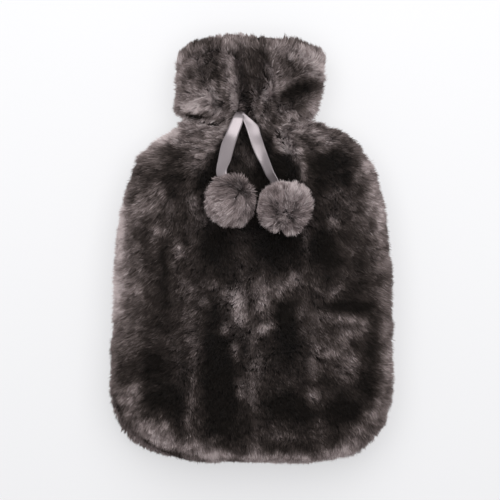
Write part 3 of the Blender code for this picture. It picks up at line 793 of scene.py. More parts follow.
@dataclass(frozen=True)
class CoverShape:
    """The form of both panels, by the same tables and formula as their solids.

    fullness: the section's power, 2 for an ellipse and more for a squarer one. corner_: the bottom
    corners in plan. bottom_, mouth_: how the two ends round over. mouth_bow: how far the mouth's
    corners bow back. seam_tuck: how far the seam is drawn in. roll_: the seam at the lower left,
    which has rolled up on to the front. inner_: the same for the hollow's wall. row_bands: from, to
    and number of the grid's rows. gather_: where its columns crowd towards the middle.
    """

    bottom_y: float = -0.1872
    mouth_y: float = 0.1865
    seam_z: float = 0.027
    seam_gap: float = 0.0003
    fullness: float = 2.6
    inner_fullness: float = 3.4
    corner_y: float = -0.1135
    corner_depth: float = 0.0750
    corner_squareness: float = 2.7
    bottom_round: float = 0.035
    inner_bottom_round: float = 0.028
    inner_ease: float = 0.06
    bottom_wall: float = 0.015
    mouth_round: float = 0.016
    mouth_lip_rise: float = 0.60
    mouth_bow: float = 0.019
    mouth_bow_from: float = 0.128
    mouth_bow_power: float = 4.0
    lip_depth: float = 0.005
    seam_tuck: float = 0.0035
    seam_tuck_height: float = 0.004
    seam_tuck_power: float = 8.0
    back_flatness: float = 1.10
    roll_centre: tuple[float, float] = (-0.1010, -0.1570)
    roll_reach: float = 0.043
    roll_shift: tuple[float, float, float] = (0.0078, 0.0072, 0.0070)
    roll_edge: float = 0.08
    inner_fold_share: float = 0.45
    row_bands: tuple[tuple[float, float, int], ...] = (
        (-0.1518, 0.0600, 64),
        (0.0600, 0.0980, 24),
        (0.0980, 0.1280, 26),
        (0.1280, 0.1708, 26),
    )
    bottom_rows: int = 20
    mouth_rows: int = 12
    edge_rows: int = 12
    edge_rise: float = 0.44
    middle_columns: int = 150
    gather_y: float = 0.1120
    gather_reach: float = 0.034
    gather_crowding: float = 0.45

    def station(self, name: str, y: Array) -> Array:
        """One column of the station table, on cubic pieces that never overshoot the table.

        Args:
            name: of the column.
            y: places along the cover.

        Returns:
            The column's value at each place.
        """
        at = STATIONS[:, 0]
        values = STATIONS[:, STATION_NAMES.index(name)]
        rise = np.diff(values) / np.diff(at)
        slope = np.zeros_like(values)
        level = rise[:-1] * rise[1:] <= 0.0
        total = np.where(level, 1.0, rise[:-1] + rise[1:])
        slope[1:-1] = np.where(level, 0.0, 2.0 * rise[:-1] * rise[1:] / total)
        y = np.clip(y, at[0], at[-1])
        k = np.clip(np.searchsorted(at, y, side="right") - 1, 0, len(at) - 2)
        width = at[k + 1] - at[k]
        s = (y - at[k]) / width
        start = values[k] * (1.0 + 2.0 * s) * (1.0 - s) ** 2 + slope[k] * width * s * (1.0 - s) ** 2
        end = values[k + 1] * s * s * (3.0 - 2.0 * s) - slope[k + 1] * width * s * s * (1.0 - s)
        return start + end

    def crown(self, across: Array, fullness: float) -> Array:
        """Height of a rounded section at a share of its half-width: (1 - |a|^n)^(1/n)."""
        return (1.0 - np.clip(np.abs(across), 0.0, 1.0) ** fullness) ** (1.0 / fullness)

    def folds(self, x: Array, y: Array, shading: bool = False) -> Array:
        """Depth of all folds at a place: each is a trough of cosine-squared section along a line.

        Args:
            x: places across.
            y: places along.
            shading: whether each fold counts by its shade.

        Returns:
            The depth below the even crown.
        """
        depth = np.zeros(np.broadcast(x, y).shape)
        for x0, y0, x1, y1, half0, half1, deep0, deep1, shade in FOLDS:
            run = np.array((x1 - x0, y1 - y0))
            length = np.hypot(*run)
            run = run / length
            along = ((x - x0) * run[0] + (y - y0) * run[1]) / length
            aside = np.abs((y - y0) * run[0] - (x - x0) * run[1])
            held = np.clip(along, 0.0, 1.0)
            half = half0 + (half1 - half0) * held
            away = np.clip(np.hypot(aside, (along - held) * length) / half, 0.0, 1.0)
            deep = (deep0 + (deep1 - deep0) * held) * (shade if shading else 1.0)
            depth += deep * np.cos(0.5 * math.pi * away) ** 2
        return depth

    def lumps(self, x: Array, y: Array) -> Array:
        """Soft unevenness: the sum of a few waves across times waves along.

        Args:
            x: places across.
            y: places along.

        Returns:
            The height above the even crown.
        """
        height = np.zeros(np.broadcast(x, y).shape)
        for across, along, high, phase_across, phase_along in LUMPS:
            wave = np.sin(2 * math.pi * x / across + phase_across)
            height += high * wave * np.cos(2 * math.pi * y / along + phase_along)
        return height

    def front_height(self, x: Array, y: Array) -> Array:
        """The front's outer face, away from its edge: seam, plus rise less folds, times the crown.

        Args:
            x: places across.
            y: places along.

        Returns:
            The height above the floor.
        """
        half = np.where(x < 0.0, self.station("left", y), self.station("right", y))
        crown = self.crown(x / half, self.fullness)
        rise = self.station("front", y) + self.lumps(x, y) - self.folds(x, y)
        return self.seam_z + rise * crown

    def columns(self) -> Array:
        """The grid's columns: even steps of height at both edges, and of width between.

        Returns:
            Places across, from -1 to 1.
        """
        rises = np.linspace(0.0, self.edge_rise, self.edge_rows)
        edge = (1.0 - rises**self.fullness) ** (1.0 / self.fullness)
        middle = np.linspace(-edge[-1], edge[-1], self.middle_columns + 1)[1:-1]
        return np.concatenate([-edge, middle, edge[::-1]])

    def rows(self, inner: bool) -> tuple[Array, Array]:
        """Each row's place along the cover and its share of the full height.

        Args:
            inner: whether the rows are those of the hollow's wall.

        Returns:
            The places and the shares, from the bottom to the mouth.
        """
        turn = np.linspace(0.0, 0.5 * math.pi, self.bottom_rows + 1)[:-1]
        power = 2.0 / self.fullness
        depth = self.inner_bottom_round if inner else self.bottom_round
        wall = self.bottom_wall if inner else 0.0
        ends = [self.bottom_y + wall + depth * (1.0 - np.cos(turn) ** power)]
        shares = [np.sin(turn) ** power]
        for low, high, count in self.row_bands:
            ends.append(np.linspace(low, high, count + 1)[:-1])
            shares.append(np.ones(count))
        round_from = self.row_bands[-1][1]
        turn = np.linspace(0.0, 1.0, self.mouth_rows + 1)
        ends.append(round_from + (self.mouth_y - round_from) * np.sin(0.5 * math.pi * turn))
        shares.append(np.ones(self.mouth_rows + 1))
        y = np.concatenate(ends)
        if inner:
            beyond = self.bottom_y + self.bottom_round
            step = self.bottom_wall + self.inner_bottom_round - self.bottom_round
            shift = step * (1.0 - ease(y, beyond, beyond + self.inner_ease))
            shift = shift * (np.arange(len(y)) >= self.bottom_rows)
            lip = ease(y, self.mouth_y - 2.0 * self.mouth_round, self.mouth_y)
            y = y + shift - self.lip_depth * lip
        return y, np.concatenate(shares)

    def layer(self, face: Face, inner: bool) -> Array:
        """The outer face of a panel, or the wall of its hollow, as a grid of points.

        A row at y holds points at shares a of the half-width, raised from the seam by the panel's
        rise times (1 - |a|^n)^(1/n), less the folds. The bottom corners narrow by a superellipse,
        the bottom rounds over, the seam is drawn in, and the mouth's corners bow back.

        Args:
            face: which panel.
            inner: whether it is the hollow's wall.

        Returns:
            (rows, columns, 3) points, rows from the bottom to the mouth, columns left to right.
        """
        y, share = (values[:, None] for values in self.rows(inner))
        outer_y = self.rows(False)[0][:, None]
        gathered = np.exp(-(((y - self.gather_y) / self.gather_reach) ** 2))
        crowding = 1.0 + self.gather_crowding * gathered
        across = self.columns()[None, :]
        across = np.sign(across) * np.abs(across) ** crowding
        crown = self.crown(across, self.inner_fullness if inner else self.fullness)
        down = np.clip((self.corner_y - outer_y) / self.corner_depth, 0.0, 1.0)
        outline = (1.0 - down**self.corner_squareness) ** (1.0 / self.corner_squareness)
        wall = self.station("side", y) if inner else 0.0
        left = self.station("left", y) * outline - wall
        right = self.station("right", y) * outline - wall
        x = across * np.where(across < 0.0, left, right)
        rise = self.station(face.value + ("_in" if inner else ""), y) * share * crown
        if face is Face.FRONT:
            keep = self.inner_fold_share if inner else 1.0
            rise = rise - keep * share * crown * (self.folds(x, y) - self.lumps(x, y))
        if not inner:
            past = np.clip((y - self.mouth_y + self.mouth_round) / self.mouth_round, 0.0, 1.0)
            rounded = (1.0 - self.mouth_lip_rise) * np.sqrt(1.0 - past**2)
            rise = rise * (self.mouth_lip_rise + rounded)
            tuck = self.seam_tuck * np.exp(-((rise / self.seam_tuck_height) ** 2))
            x = x - np.sign(across) * tuck * np.abs(across) ** self.seam_tuck_power
            y = y + tuck * (1.0 - ease(y, self.bottom_y, self.bottom_y + self.bottom_round))
        bow = self.mouth_bow * ease(y, self.mouth_bow_from, self.mouth_y)
        bow = bow * np.abs(across) ** self.mouth_bow_power
        if face is Face.FRONT:
            z = self.seam_z + 0.5 * self.seam_gap + rise
        else:
            drop = rise if inner else self.back_flatness * rise
            z = np.maximum(self.seam_z - 0.5 * self.seam_gap - drop, 0.0)
        points = np.stack([x, y - bow, z], axis=-1)
        away = np.hypot(points[..., 0] - self.roll_centre[0], points[..., 1] - self.roll_centre[1])
        moved = np.exp(-((away / self.roll_reach) ** 2))[..., None] * np.array(self.roll_shift)
        if face is Face.BACK:
            edge = np.clip(1.0 - share * crown / self.roll_edge, 0.0, 1.0)
            moved = moved * edge[..., None]
        return points + moved


# ---- what the pile grows from --------------------------------------------------------------------


@dataclass(frozen=True)
class Ground:
    """A face that pile grows out of, as a fine grid.

    points: on the pile's outer face. way: the direction in which its strands stand. normal: of the
    face. across, along: unit vectors in the face. place: unrolled coordinates. room: depth of the
    wall under each point. crest: height above the seam as a share of the row's full height.
    """

    points: Array
    way: Array
    normal: Array
    across: Array
    along: Array
    place: Array
    room: Array
    crest: Array

    @classmethod
    def between(cls, outer: Array, inner: Array, crest: Array, turned: bool) -> "Ground":
        """A ground from a wall's two faces.

        Args:
            outer: (rows, columns, 3) points of the outer face.
            inner: those of the inner face.
            crest: each point's share of the full height.
            turned: whether columns times rows points inwards, as on the back.

        Returns:
            The ground.
        """
        across = unit(np.gradient(outer, axis=1))
        along = unit(np.gradient(outer, axis=0))
        normal = unit(np.cross(across, along)) * (-1.0 if turned else 1.0)
        wall = outer - inner
        room = np.linalg.norm(wall, axis=-1)
        step_across = np.linalg.norm(np.diff(outer, axis=1), axis=-1)
        step_along = np.linalg.norm(np.diff(outer, axis=0), axis=-1)
        run = np.concatenate([np.zeros((len(outer), 1)), np.cumsum(step_across, axis=1)], axis=1)
        run = run - run[:, [run.shape[1] // 2]]
        climb = np.concatenate([np.zeros((1, outer.shape[1])), np.cumsum(step_along, axis=0)])
        place = np.stack([run, climb], axis=-1)
        return cls(outer, unit(wall), normal, across, along, place, room, crest)

    def strew(self, count: int, keep: Array, rng: np.random.Generator) -> dict[str, Array]:
        """Places strewn evenly over the face, with the face's values there.

        Args:
            count: of places.
            keep: how densely each grid cell is strewn.
            rng: the random numbers.

        Returns:
            The face's values at each place, by name.
        """
        a = self.points[1:, :-1] - self.points[:-1, :-1]
        b = self.points[:-1, 1:] - self.points[:-1, :-1]
        area = np.linalg.norm(np.cross(a, b), axis=-1) * keep
        total = np.cumsum(area.ravel())
        chosen = (np.arange(count) + rng.random(count)) / count * total[-1]
        cell = np.searchsorted(total, chosen)
        i, j = np.divmod(np.clip(cell, 0, area.size - 1), area.shape[1])
        s, t = rng.random((2, count))
        corners = (
            ((1.0 - s) * (1.0 - t), i, j),
            (s * (1.0 - t), i, j + 1),
            ((1.0 - s) * t, i + 1, j),
            (s * t, i + 1, j + 1),
        )
        found = {}
        for field in fields(self):
            values = getattr(self, field.name)
            spread = (slice(None),) + (None,) * (values.ndim - 2)
            parts = (weight[spread] * values[row, column] for weight, row, column in corners)
            found[field.name] = sum(parts)
        for name in ("way", "normal", "across", "along"):
            found[name] = unit(found[name])
        return found


@dataclass(frozen=True)
class Strands:
    """Blades of pile: from root over a bend to the tip, turned so that their flat side shows.

    bare: from 0, shaded down to the root, to 1, as pale as the tip all along. MOST: strands in one
    piece. ROOT_WIDTH: the root's width as a share of the middle's. END_ON: how nearly a strand may
    point along its facing, as a sine, before NUDGE turns its width aside. TONES: the darkest and the
    palest tone used. BAREST: the most that bare counts. UV_HALF: half a blade's width in the UV map.
    """

    root: Array
    bend: Array
    tip: Array
    facing: Array
    width: Array
    twist: Array
    tone: Array
    bare: Array

    MOST: ClassVar[int] = 66000
    ROOT_WIDTH: ClassVar[float] = 0.55
    END_ON: ClassVar[float] = 0.12
    NUDGE: ClassVar[float] = 0.3
    TONES: ClassVar[Band] = (0.02, 0.98)
    BAREST: ClassVar[float] = 0.8
    UV_HALF: ClassVar[float] = 0.004

    def part(self, chosen: slice) -> "Strands":
        """Some of the strands."""
        return Strands(*(getattr(self, field.name)[chosen] for field in fields(self)))

    def build(self, name: str, finish: bpy.types.Material) -> bpy.types.Object:
        """The blades as one mesh: a quad from root to middle and a triangle on to the tip.

        The middle lies on the quadratic curve through root and tip that the bend pulls. A blade's
        width runs across the strand and along the face, turned round the strand by its twist.

        Args:
            name: of the piece.
            finish: its material.

        Returns:
            The object.
        """
        middle = 0.25 * self.root + 0.5 * self.bend + 0.25 * self.tip
        run = unit(self.tip - self.root)
        side = np.cross(run, self.facing)
        weak = np.linalg.norm(side, axis=-1, keepdims=True) < self.END_ON
        side = unit(np.where(weak, side + self.NUDGE * np.roll(run, 1, axis=-1), side))
        side = unit(side - np.sum(side * run, axis=-1, keepdims=True) * run)
        turn = self.twist[:, None]
        side = side * np.cos(turn) + np.cross(run, side) * np.sin(turn)
        half = 0.5 * self.width[:, None] * side
        low = self.ROOT_WIDTH * half
        points = np.stack(
            [self.root - low, self.root + low, middle + half, middle - half, self.tip], axis=1
        )
        count = len(points)
        base = 5 * np.arange(count)[:, None]
        faces = base + np.array([[0, 1, 2, 3, 3, 2, 4]])
        sizes = np.tile([4, 3], count)
        tone = np.clip(self.tone, *self.TONES)[:, None]
        left, right = tone - self.UV_HALF, tone + self.UV_HALF
        u = np.concatenate([left, right, right, left, left, right, tone], axis=1)
        v = np.array([ROOT_V] * 2 + [MIDDLE_V] * 4 + [TIP_V])
        v = v + (TIP_V - v) * np.clip(self.bare, 0.0, self.BAREST)[:, None]
        uv = np.stack([u, v], axis=-1)
        made = mesh_object(name, points.reshape(-1, 3), faces.ravel(), sizes, uv.reshape(-1, 2))
        made.data.materials.append(finish)
        return made

    def build_all(self, name: str, finish: bpy.types.Material) -> list[bpy.types.Object]:
        """The blades as pieces of at most MOST strands each.

        Args:
            name: of the pieces, which are numbered from 1.
            finish: their material.

        Returns:
            The objects.
        """
        pieces = math.ceil(len(self.root) / self.MOST)
        cuts = np.linspace(0, len(self.root), pieces + 1).astype(int)
        return [
            self.part(slice(low, high)).build(f"{name}_{k + 1}", finish)
            for k, (low, high) in enumerate(zip(cuts[:-1], cuts[1:]))
        ]


@dataclass(frozen=True)
class Nap:
    """The light and dark clouds of the plush, and the way its pile lies.

    base: the tone of plain pile, to which the others add. valley: painted shade by a metre of fold.
    clouds: size and strength of the noise. noise_calm, noise_lively: its strength in the dark, and
    what the tone adds to it. swirl, fall, lift, combed: how far the tips lie over, in metres, and
    spread: as a share of x. collar_locks: how much stronger the bunches are on the collar.
    """

    shape: CoverShape
    base: float = 0.19
    collar_light: float = 0.22
    collar_band: Band = (0.104, 0.124)
    # how strongly the patches' painted highlights and painted shade count
    patch_light: float = 1.6
    patch_dark: float = 1.3
    patch_grain: float = 0.28
    grain_size: float = 0.0035
    grain_seed: int = 31
    # painted rim light, with more on the back's rim, which lies in the front's shade
    rim_light: float = 0.36
    back_rim: float = 0.30
    rim_band: Band = (0.15, 0.70)
    # painted shade on the back where the front's rolled seam lies over it
    roll_shade: float = 0.24
    # painted shade in the folds, and painted light on the ridges
    valley: float = 22.0
    clouds: tuple[tuple[float, float], ...] = ((0.030, 0.05), (0.013, 0.09), (0.006, 0.11))
    clouds_seed: int = 20
    noise_calm: float = 0.42
    noise_lively: float = 1.2
    noise_until: float = 0.6
    swirl: float = 0.0030
    swirl_size: float = 0.040
    swirl_along: float = 0.55
    swirl_seed: int = 5
    spread: float = 0.012
    fall: float = 0.0045
    lift: float = 0.0078
    lift_band: Band = (0.108, 0.140)
    combed: float = 0.0040
    combed_from: tuple[float, float] = (-0.008, 0.1165)
    combed_reach: float = 0.040
    combed_middle: float = 0.002
    collar_locks: float = 1.0
    locks_band: Band = (0.070, 0.110)

    def tone(self, x: Array, y: Array, crest: Array, face: Face) -> Array:
        """How pale the pile is: soft noise over plain pile, with a paler collar and paler rims.

        The front also has its patches of painted highlight and painted shade, painted shade in its
        folds and painted light on its ridges, and the back has painted shade where the seam has
        rolled up. The paler rims are painted rim light. A patch adds its light times exp(-d^2),
        where d is the distance from its middle as a share of its half-lengths.

        Args:
            x: places across.
            y: places along.
            crest: heights above the seam as shares of the full height.
            face: which panel; only the front has patches and folds.

        Returns:
            The tone, 0 for the darkest and 1 for the palest.
        """
        tone = self.base + self.collar_light * ease(y, *self.collar_band)
        # painted rim light; the back's rim, shaded by the front, gets more
        rim_light = self.rim_light + (self.back_rim if face is Face.BACK else 0.0)
        tone = tone + rim_light * (1.0 - ease(crest, *self.rim_band))
        if face is Face.FRONT:
            # the patches: painted highlights and painted shade, over the nap's own pale and dark
            # clouds
            light = np.zeros(x.shape)
            for px, py, half_a, half_b, turn, much in PATCHES:
                c, s = math.cos(math.radians(turn)), math.sin(math.radians(turn))
                a = ((x - px) * c + (y - py) * s) / half_a
                b = ((y - py) * c - (x - px) * s) / half_b
                light += much * np.exp(-(a * a + b * b))
            light = light * np.where(light > 0.0, self.patch_light, self.patch_dark)
            grain = 1.0 + self.patch_grain * cloud(x, y, self.grain_size, self.grain_seed)
            # the folds get painted shade and the ridges painted light
            tone = tone + light * grain - self.valley * self.shape.folds(x, y, shading=True)
        else:
            # painted shade on the back under the rolled seam
            away = np.hypot(x - self.shape.roll_centre[0], y - self.shape.roll_centre[1])
            tone = tone - self.roll_shade * np.exp(-((away / self.shape.roll_reach) ** 2))
        clouds = enumerate(self.clouds, self.clouds_seed)
        noise = sum(strength * cloud(x, y, size, seed) for seed, (size, strength) in clouds)
        return tone + noise * self.liveliness(tone)

    def liveliness(self, tone: Array) -> Array:
        """How strongly the tone varies: little in the dark depths, more where the tips show."""
        return self.noise_calm + self.noise_lively * np.clip(tone, 0.0, self.noise_until)

    def lean(self, x: Array, y: Array) -> Array:
        """How far the tips lie over, across and along.

        The body's pile lies down and the collar's up, in swirls, and round the gather it is
        combed away from the tie.

        Args:
            x: places across.
            y: places along.

        Returns:
            (n, 2) shifts of the tips in metres.
        """
        collar = ease(y, *self.lift_band)
        across = self.swirl * cloud(x, y, self.swirl_size, self.swirl_seed) + self.spread * x
        along = self.swirl_along * self.swirl * cloud(x, y, self.swirl_size, self.swirl_seed + 1)
        along = along - self.fall + self.lift * collar
        aside, ahead = x - self.combed_from[0], y - self.combed_from[1]
        away = np.hypot(aside, ahead) + self.combed_middle
        comb = self.combed * np.exp(-((away / self.combed_reach) ** 2))
        return np.stack([across + comb * aside / away, along + comb * ahead / away], axis=-1)


@dataclass(frozen=True)
class Pile:
    """How a pile grows from its ground.

    bunch, wisp: spacing of the tufts and of the wisps in them. Of these, _pull is how far the
    strands draw together, _lean how far they lean as one, and _tone how much their tone differs.
    proud: how far the tips stand out of the outer face. rim: the panel's edge. lip: the mouth's
    edge. guard: the coarser and paler strands. deepest: the share of the wall that a strand takes at
    most. most_lying: the share of its length that it loses at most by lying over. bend_up,
    bend_over: where its bend is.
    """

    strands: int
    length: float
    width: float
    bunch: float = 0.0065
    bunch_pull: float = 0.13
    bunch_lean: float = 0.0015
    bunch_middle: float = 0.35
    bunch_drop: float = 0.0009
    bunch_rise: float = 0.0006
    bunch_tone: float = 0.07
    # painted shade: strands towards the gap between two bunches are darker
    bunch_gap_shade: float = 0.06
    wisp: float = 0.0028
    wisp_pull: float = 0.34
    wisp_lean: float = 0.0010
    # painted shade: strands towards the edge of a wisp are darker
    wisp_gap_shade: float = 0.4
    wisp_tone: float = 0.08
    stray: float = 0.0010
    stray_tone: float = 0.08
    proud: float = 0.0008
    rise: float = 0.0006
    deepest: float = 0.86
    most_lying: float = 0.3
    rim_band: Band = (0.10, 0.65)
    rim_reach: float = 0.0010
    rim_tufts: float = 0.0010
    rim_tufts_band: Band = (0.10, 0.12)
    rim_stray: float = 0.6
    rim_swirl: float = 0.0050
    rim_swirl_size: float = 0.017
    rim_calm: float = 0.45
    # painted rim light: at the rim the strands keep the tip's paleness down to the root
    rim_bare: float = 0.55
    trim_band: Band = (0.35, 0.90)
    lip_band: Band = (0.008, 0.001)
    lip_drop: float = 0.0045
    lip_tufts: float = 0.0028
    # painted light on the mouth's lip: its strands are paler, and lip_bare keeps them pale to the
    # root
    lip_light: float = 0.12
    lip_bare: float = 0.50
    guard_share: float = 0.14
    guard_tone: float = 0.15
    guard_width: float = 1.5
    tip_clear: float = 0.0003
    root_clear: float = 0.0006
    bend_up: float = 0.62
    bend_over: float = 0.12
    widths: Band = (0.7, 1.2)
    twist: float = 0.45
    flat_up: float = 0.7
    seed: int = 1

    BUNCH_SEED: ClassVar[int] = 40
    WISP_SEED: ClassVar[int] = 50
    SWIRL_SEED: ClassVar[int] = 60

    def trim(self, x: Array, y: Array) -> Array:
        """How much farther the rim stands out: each trim's reach times exp(-d^2) round its middle.

        Args:
            x: places across.
            y: places along.

        Returns:
            The reach in metres.
        """
        reach = np.zeros(x.shape)
        for px, py, half, much in TRIMS:
            reach += much * np.exp(-((x - px) ** 2 + (y - py) ** 2) / half**2)
        return reach

    def grow(self, ground: Ground, keep: Array, nap: Nap, face: Face) -> Strands:
        """Strands over a ground.

        A tip starts over its root on the outer face. It is moved by the nap's lean, drawn towards
        the middle of its bunch and of its wisp, strayed at random and lowered as it leans, so that
        the strand keeps its length. Strands between two bunches are shorter, and darker by painted
        shade in the gaps. At the rim they stand out in uneven tufts, longer or shorter by the trims,
        and round the mouth's lip they are shorter and paler by painted light; at both they stay pale
        down to the root, also painted light.

        Args:
            ground: the face.
            keep: how densely each grid cell is strewn.
            nap: tones and leans.
            face: which panel it is.

        Returns:
            The strands.
        """
        rng = np.random.default_rng(self.seed)
        at = ground.strew(self.strands, keep, rng)
        x, y = at["points"][:, 0], at["points"][:, 1]
        toward, apart, shared = bunches(at["place"], self.bunch, self.seed + self.BUNCH_SEED)
        near, apart_wisp, shared_wisp = bunches(at["place"], self.wisp, self.seed + self.WISP_SEED)
        locks = 1.0 + nap.collar_locks * ease(y, *nap.locks_band)
        lock = self.bunch_pull * toward + self.bunch_lean * shared[:, :2]
        shift = nap.lean(x, y) + locks[:, None] * lock
        shift = shift + self.wisp_pull * near + self.wisp_lean * shared_wisp[:, :2]
        rim = 1.0 - ease(at["crest"], *self.rim_band)
        stray = self.stray * (1.0 + self.rim_stray * rim[:, None])
        shift = shift + stray * rng.normal(size=shift.shape)
        swirl = cloud(x, y, self.rim_swirl_size, self.seed + self.SWIRL_SEED)
        shift[:, 1] += self.rim_swirl * rim * swirl
        depth = np.minimum(self.length, self.deepest * at["room"])
        lying = np.minimum(np.sum(shift**2, axis=-1) / (2.0 * depth), self.most_lying * depth)
        height = self.proud + self.rise * rng.normal(size=len(x)) - lying
        between = apart - self.bunch_middle
        height = height - self.bunch_drop * between + self.bunch_rise * shared[:, 2]
        lip = ease(y, *(nap.shape.mouth_y - inward for inward in self.lip_band))
        height = height + lip * (self.lip_tufts * shared_wisp[:, 1] - self.lip_drop)
        tuft = self.rim_tufts * (1.0 + ease(y, *self.rim_tufts_band)) * shared_wisp[:, 0]
        height = height + (self.rim_reach + tuft) * rim
        trimmed = np.maximum(1.0 - ease(at["crest"], *self.trim_band), lip)
        height = height + self.trim(x, y) * trimmed
        guard = rng.random(len(x)) < self.guard_share
        over = shift[:, :1] * at["across"] + shift[:, 1:] * at["along"]
        root = at["points"] - depth[:, None] * at["way"]
        tip = at["points"] + over + height[:, None] * at["way"]
        tip[:, 2] = np.maximum(tip[:, 2], self.tip_clear)
        root[:, 2] = np.maximum(root[:, 2], self.root_clear)
        bend = root + self.bend_up * (depth + height)[:, None] * at["way"] + self.bend_over * over
        tone = nap.tone(tip[:, 0], tip[:, 1], at["crest"], face) + self.lip_light * lip
        # painted shade in the gaps between bunches and between wisps
        vary = locks * (self.bunch_tone * shared[:, 2] - self.bunch_gap_shade * between)
        vary = vary + self.wisp_tone * (shared_wisp[:, 2] - self.wisp_gap_shade * apart_wisp)
        vary = vary + self.stray_tone * rng.normal(size=len(x)) + self.guard_tone * guard
        tone = tone + vary * nap.liveliness(tone) * (1.0 - self.rim_calm * rim)
        return Strands(
            root=root,
            bend=bend,
            tip=tip,
            facing=unit(at["normal"] + np.array([0.0, 0.0, self.flat_up])),
            width=self.width
            * rng.uniform(*self.widths, len(x))
            * np.where(guard, self.guard_width, 1.0),
            twist=rng.normal(scale=self.twist, size=len(x)),
            tone=tone,
            bare=np.maximum(self.rim_bare * rim, self.lip_bare * lip),
        )


# ---- the cover -----------------------------------------------------------------------------------


@dataclass(frozen=True)
class Panel:
    """One panel: its sheet of cloth and the pile on it.

    _density: how densely a place is strewn, where plain cloth has 1. upright: how far the strands
    turn from the wall's direction to the face's normal. lip_way, lip_room: where the lip's strands
    point and how deep they may root. cloth_depth, cloth_room: how deep the cloth lies under the
    outer face, in metres and as a share of the wall. step: one row and column in so many is used
    for the cloth.
    """

    face: Face
    node: str
    shape: CoverShape
    nap: Nap
    pile: Pile
    collar_density: float
    collar_band: Band = (0.085, 0.115)
    lip_density: float = 2.5
    underside_density: float = 0.35
    underside_band: Band = (0.001, 0.010)
    slit_centre: tuple[float, float] = (-0.0074, 0.1165)
    slit_half: tuple[float, float] = (0.0050, 0.0026)
    upright: float = 2.5
    lip_rows: int = 6
    lip_from: float = 0.020
    lip_way: tuple[float, float, float] = (0.0, 1.0, 0.25)
    lip_room: float = 0.0115
    cloth_depth: float = 0.0122
    cloth_room: float = 0.88
    cloth_thickness: float = 0.0012
    cut_size: tuple[float, float] = (0.268, 0.385)
    cut_area: float = 0.0830
    step: int = 2

    def walls(self) -> tuple[Array, Array, Array]:
        """The panel's two faces.

        Returns:
            The outer face, the wall of the hollow, and each point's share of the full height.
        """
        outer = self.shape.layer(self.face, inner=False)
        inner = self.shape.layer(self.face, inner=True)
        crown = self.shape.crown(self.shape.columns(), self.shape.fullness)
        return outer, inner, self.shape.rows(False)[1][:, None] * crown[None, :]

    def pile_ground(self) -> Ground:
        """What the pile grows from: the outer face, and round the mouth's lip to the hollow.

        Over the last rows the strands turn from the wall's direction to stand out of the mouth.

        Returns:
            The ground.
        """
        outer, inner, crest = self.walls()
        share = np.linspace(0.0, 1.0, self.lip_rows + 1)[1:, None, None]
        lip = outer[-1] * (1.0 - share) + inner[-1] * share
        points = np.concatenate([outer, lip])
        base = Ground.between(
            points,
            np.concatenate([inner, np.broadcast_to(inner[-1], lip.shape)]),
            np.concatenate([crest, np.broadcast_to(crest[-1], lip.shape[:2])]),
            self.face is Face.BACK,
        )
        y = self.shape.rows(False)[0]
        turn = ease(y, self.shape.mouth_y - self.lip_from, self.shape.mouth_y)
        turn = np.concatenate([turn, np.ones(self.lip_rows)])[:, None]
        stand = unit(np.array(self.lip_way) * ((1.0, 1.0, -1.0) if self.face is Face.BACK else 1.0))
        stand = np.broadcast_to(stand, points.shape)
        upright = unit(base.way + self.upright * base.normal)
        way = np.concatenate([upright[: len(outer)], stand[len(outer) :]])
        way = unit(way * (1.0 - turn[..., None]) + stand * turn[..., None])
        room = np.maximum(base.room, self.lip_room * turn)
        return replace(base, way=way, room=room)

    def cloth(self, finish: bpy.types.Material) -> bpy.types.Object:
        """The sheet of cloth: the outer face moved in by the pile's depth.

        Args:
            finish: the cloth's material.

        Returns:
            The object, with its thickness as a modifier.
        """
        outer, inner, _ = self.walls()
        wall = outer - inner
        room = np.linalg.norm(wall, axis=-1)
        depth = np.minimum(self.cloth_depth, self.cloth_room * room)[..., None]
        points = outer - depth * unit(wall)
        kept = (np.append(np.arange(0, size, self.step), size - 1) for size in points.shape[:2])
        points = points[np.ix_(*(np.unique(index) for index in kept))]
        quads = grid_faces(*points.shape[:2])
        if self.face is Face.BACK:
            quads = quads[:, ::-1]
        made = mesh_object(
            f"{self.face.value}_cloth", points.reshape(-1, 3), quads.ravel(), np.full(len(quads), 4)
        )
        thick = made.modifiers.new("thickness", "SOLIDIFY")
        thick.thickness = self.cloth_thickness
        thick.offset = -1.0
        made.data.materials.append(finish)
        return made

    def keep(self, ground: Ground) -> Array:
        """How densely each cell of the face is strewn.

        There is more pile on the collar and most on the lip, less where the back lies on the floor,
        and none in the oval of the tie's slit.

        Args:
            ground: the face.

        Returns:
            The density of each cell of its grid.
        """
        points = ground.points
        middle = 0.25 * (points[1:, 1:] + points[:-1, 1:] + points[1:, :-1] + points[:-1, :-1])
        x, y, z = (middle[..., axis] for axis in range(3))
        density = 1.0 + (self.collar_density - 1.0) * ease(y, *self.collar_band)
        density[-self.lip_rows :] *= self.lip_density
        if self.face is Face.BACK:
            more = 1.0 - self.underside_density
            return density * (self.underside_density + more * ease(z, *self.underside_band))
        aside, ahead = x - self.slit_centre[0], y - self.slit_centre[1]
        slit = np.hypot(aside / self.slit_half[0], ahead / self.slit_half[1])
        return density * (slit > 1.0)

    def build(self, pile_finish: bpy.types.Material, cloth_finish: bpy.types.Material) -> None:
        """The panel's cloth and pile, riding on the cover and standing for its solid.

        Args:
            pile_finish: material of the pile.
            cloth_finish: material of the cloth.
        """
        cloth = self.cloth(cloth_finish)
        ground = self.pile_ground()
        strands = self.pile.grow(ground, self.keep(ground), self.nap, self.face)
        pieces = strands.build_all(f"{self.face.value}_pile", pile_finish)
        for piece in (cloth, *pieces):
            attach(piece, "root")
            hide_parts(self.node)
        LOG.info("%s: cloth and %d strands in %d pieces", self.node, len(strands.root), len(pieces))


# ---- the tie and the pompoms ---------------------------------------------------------------------


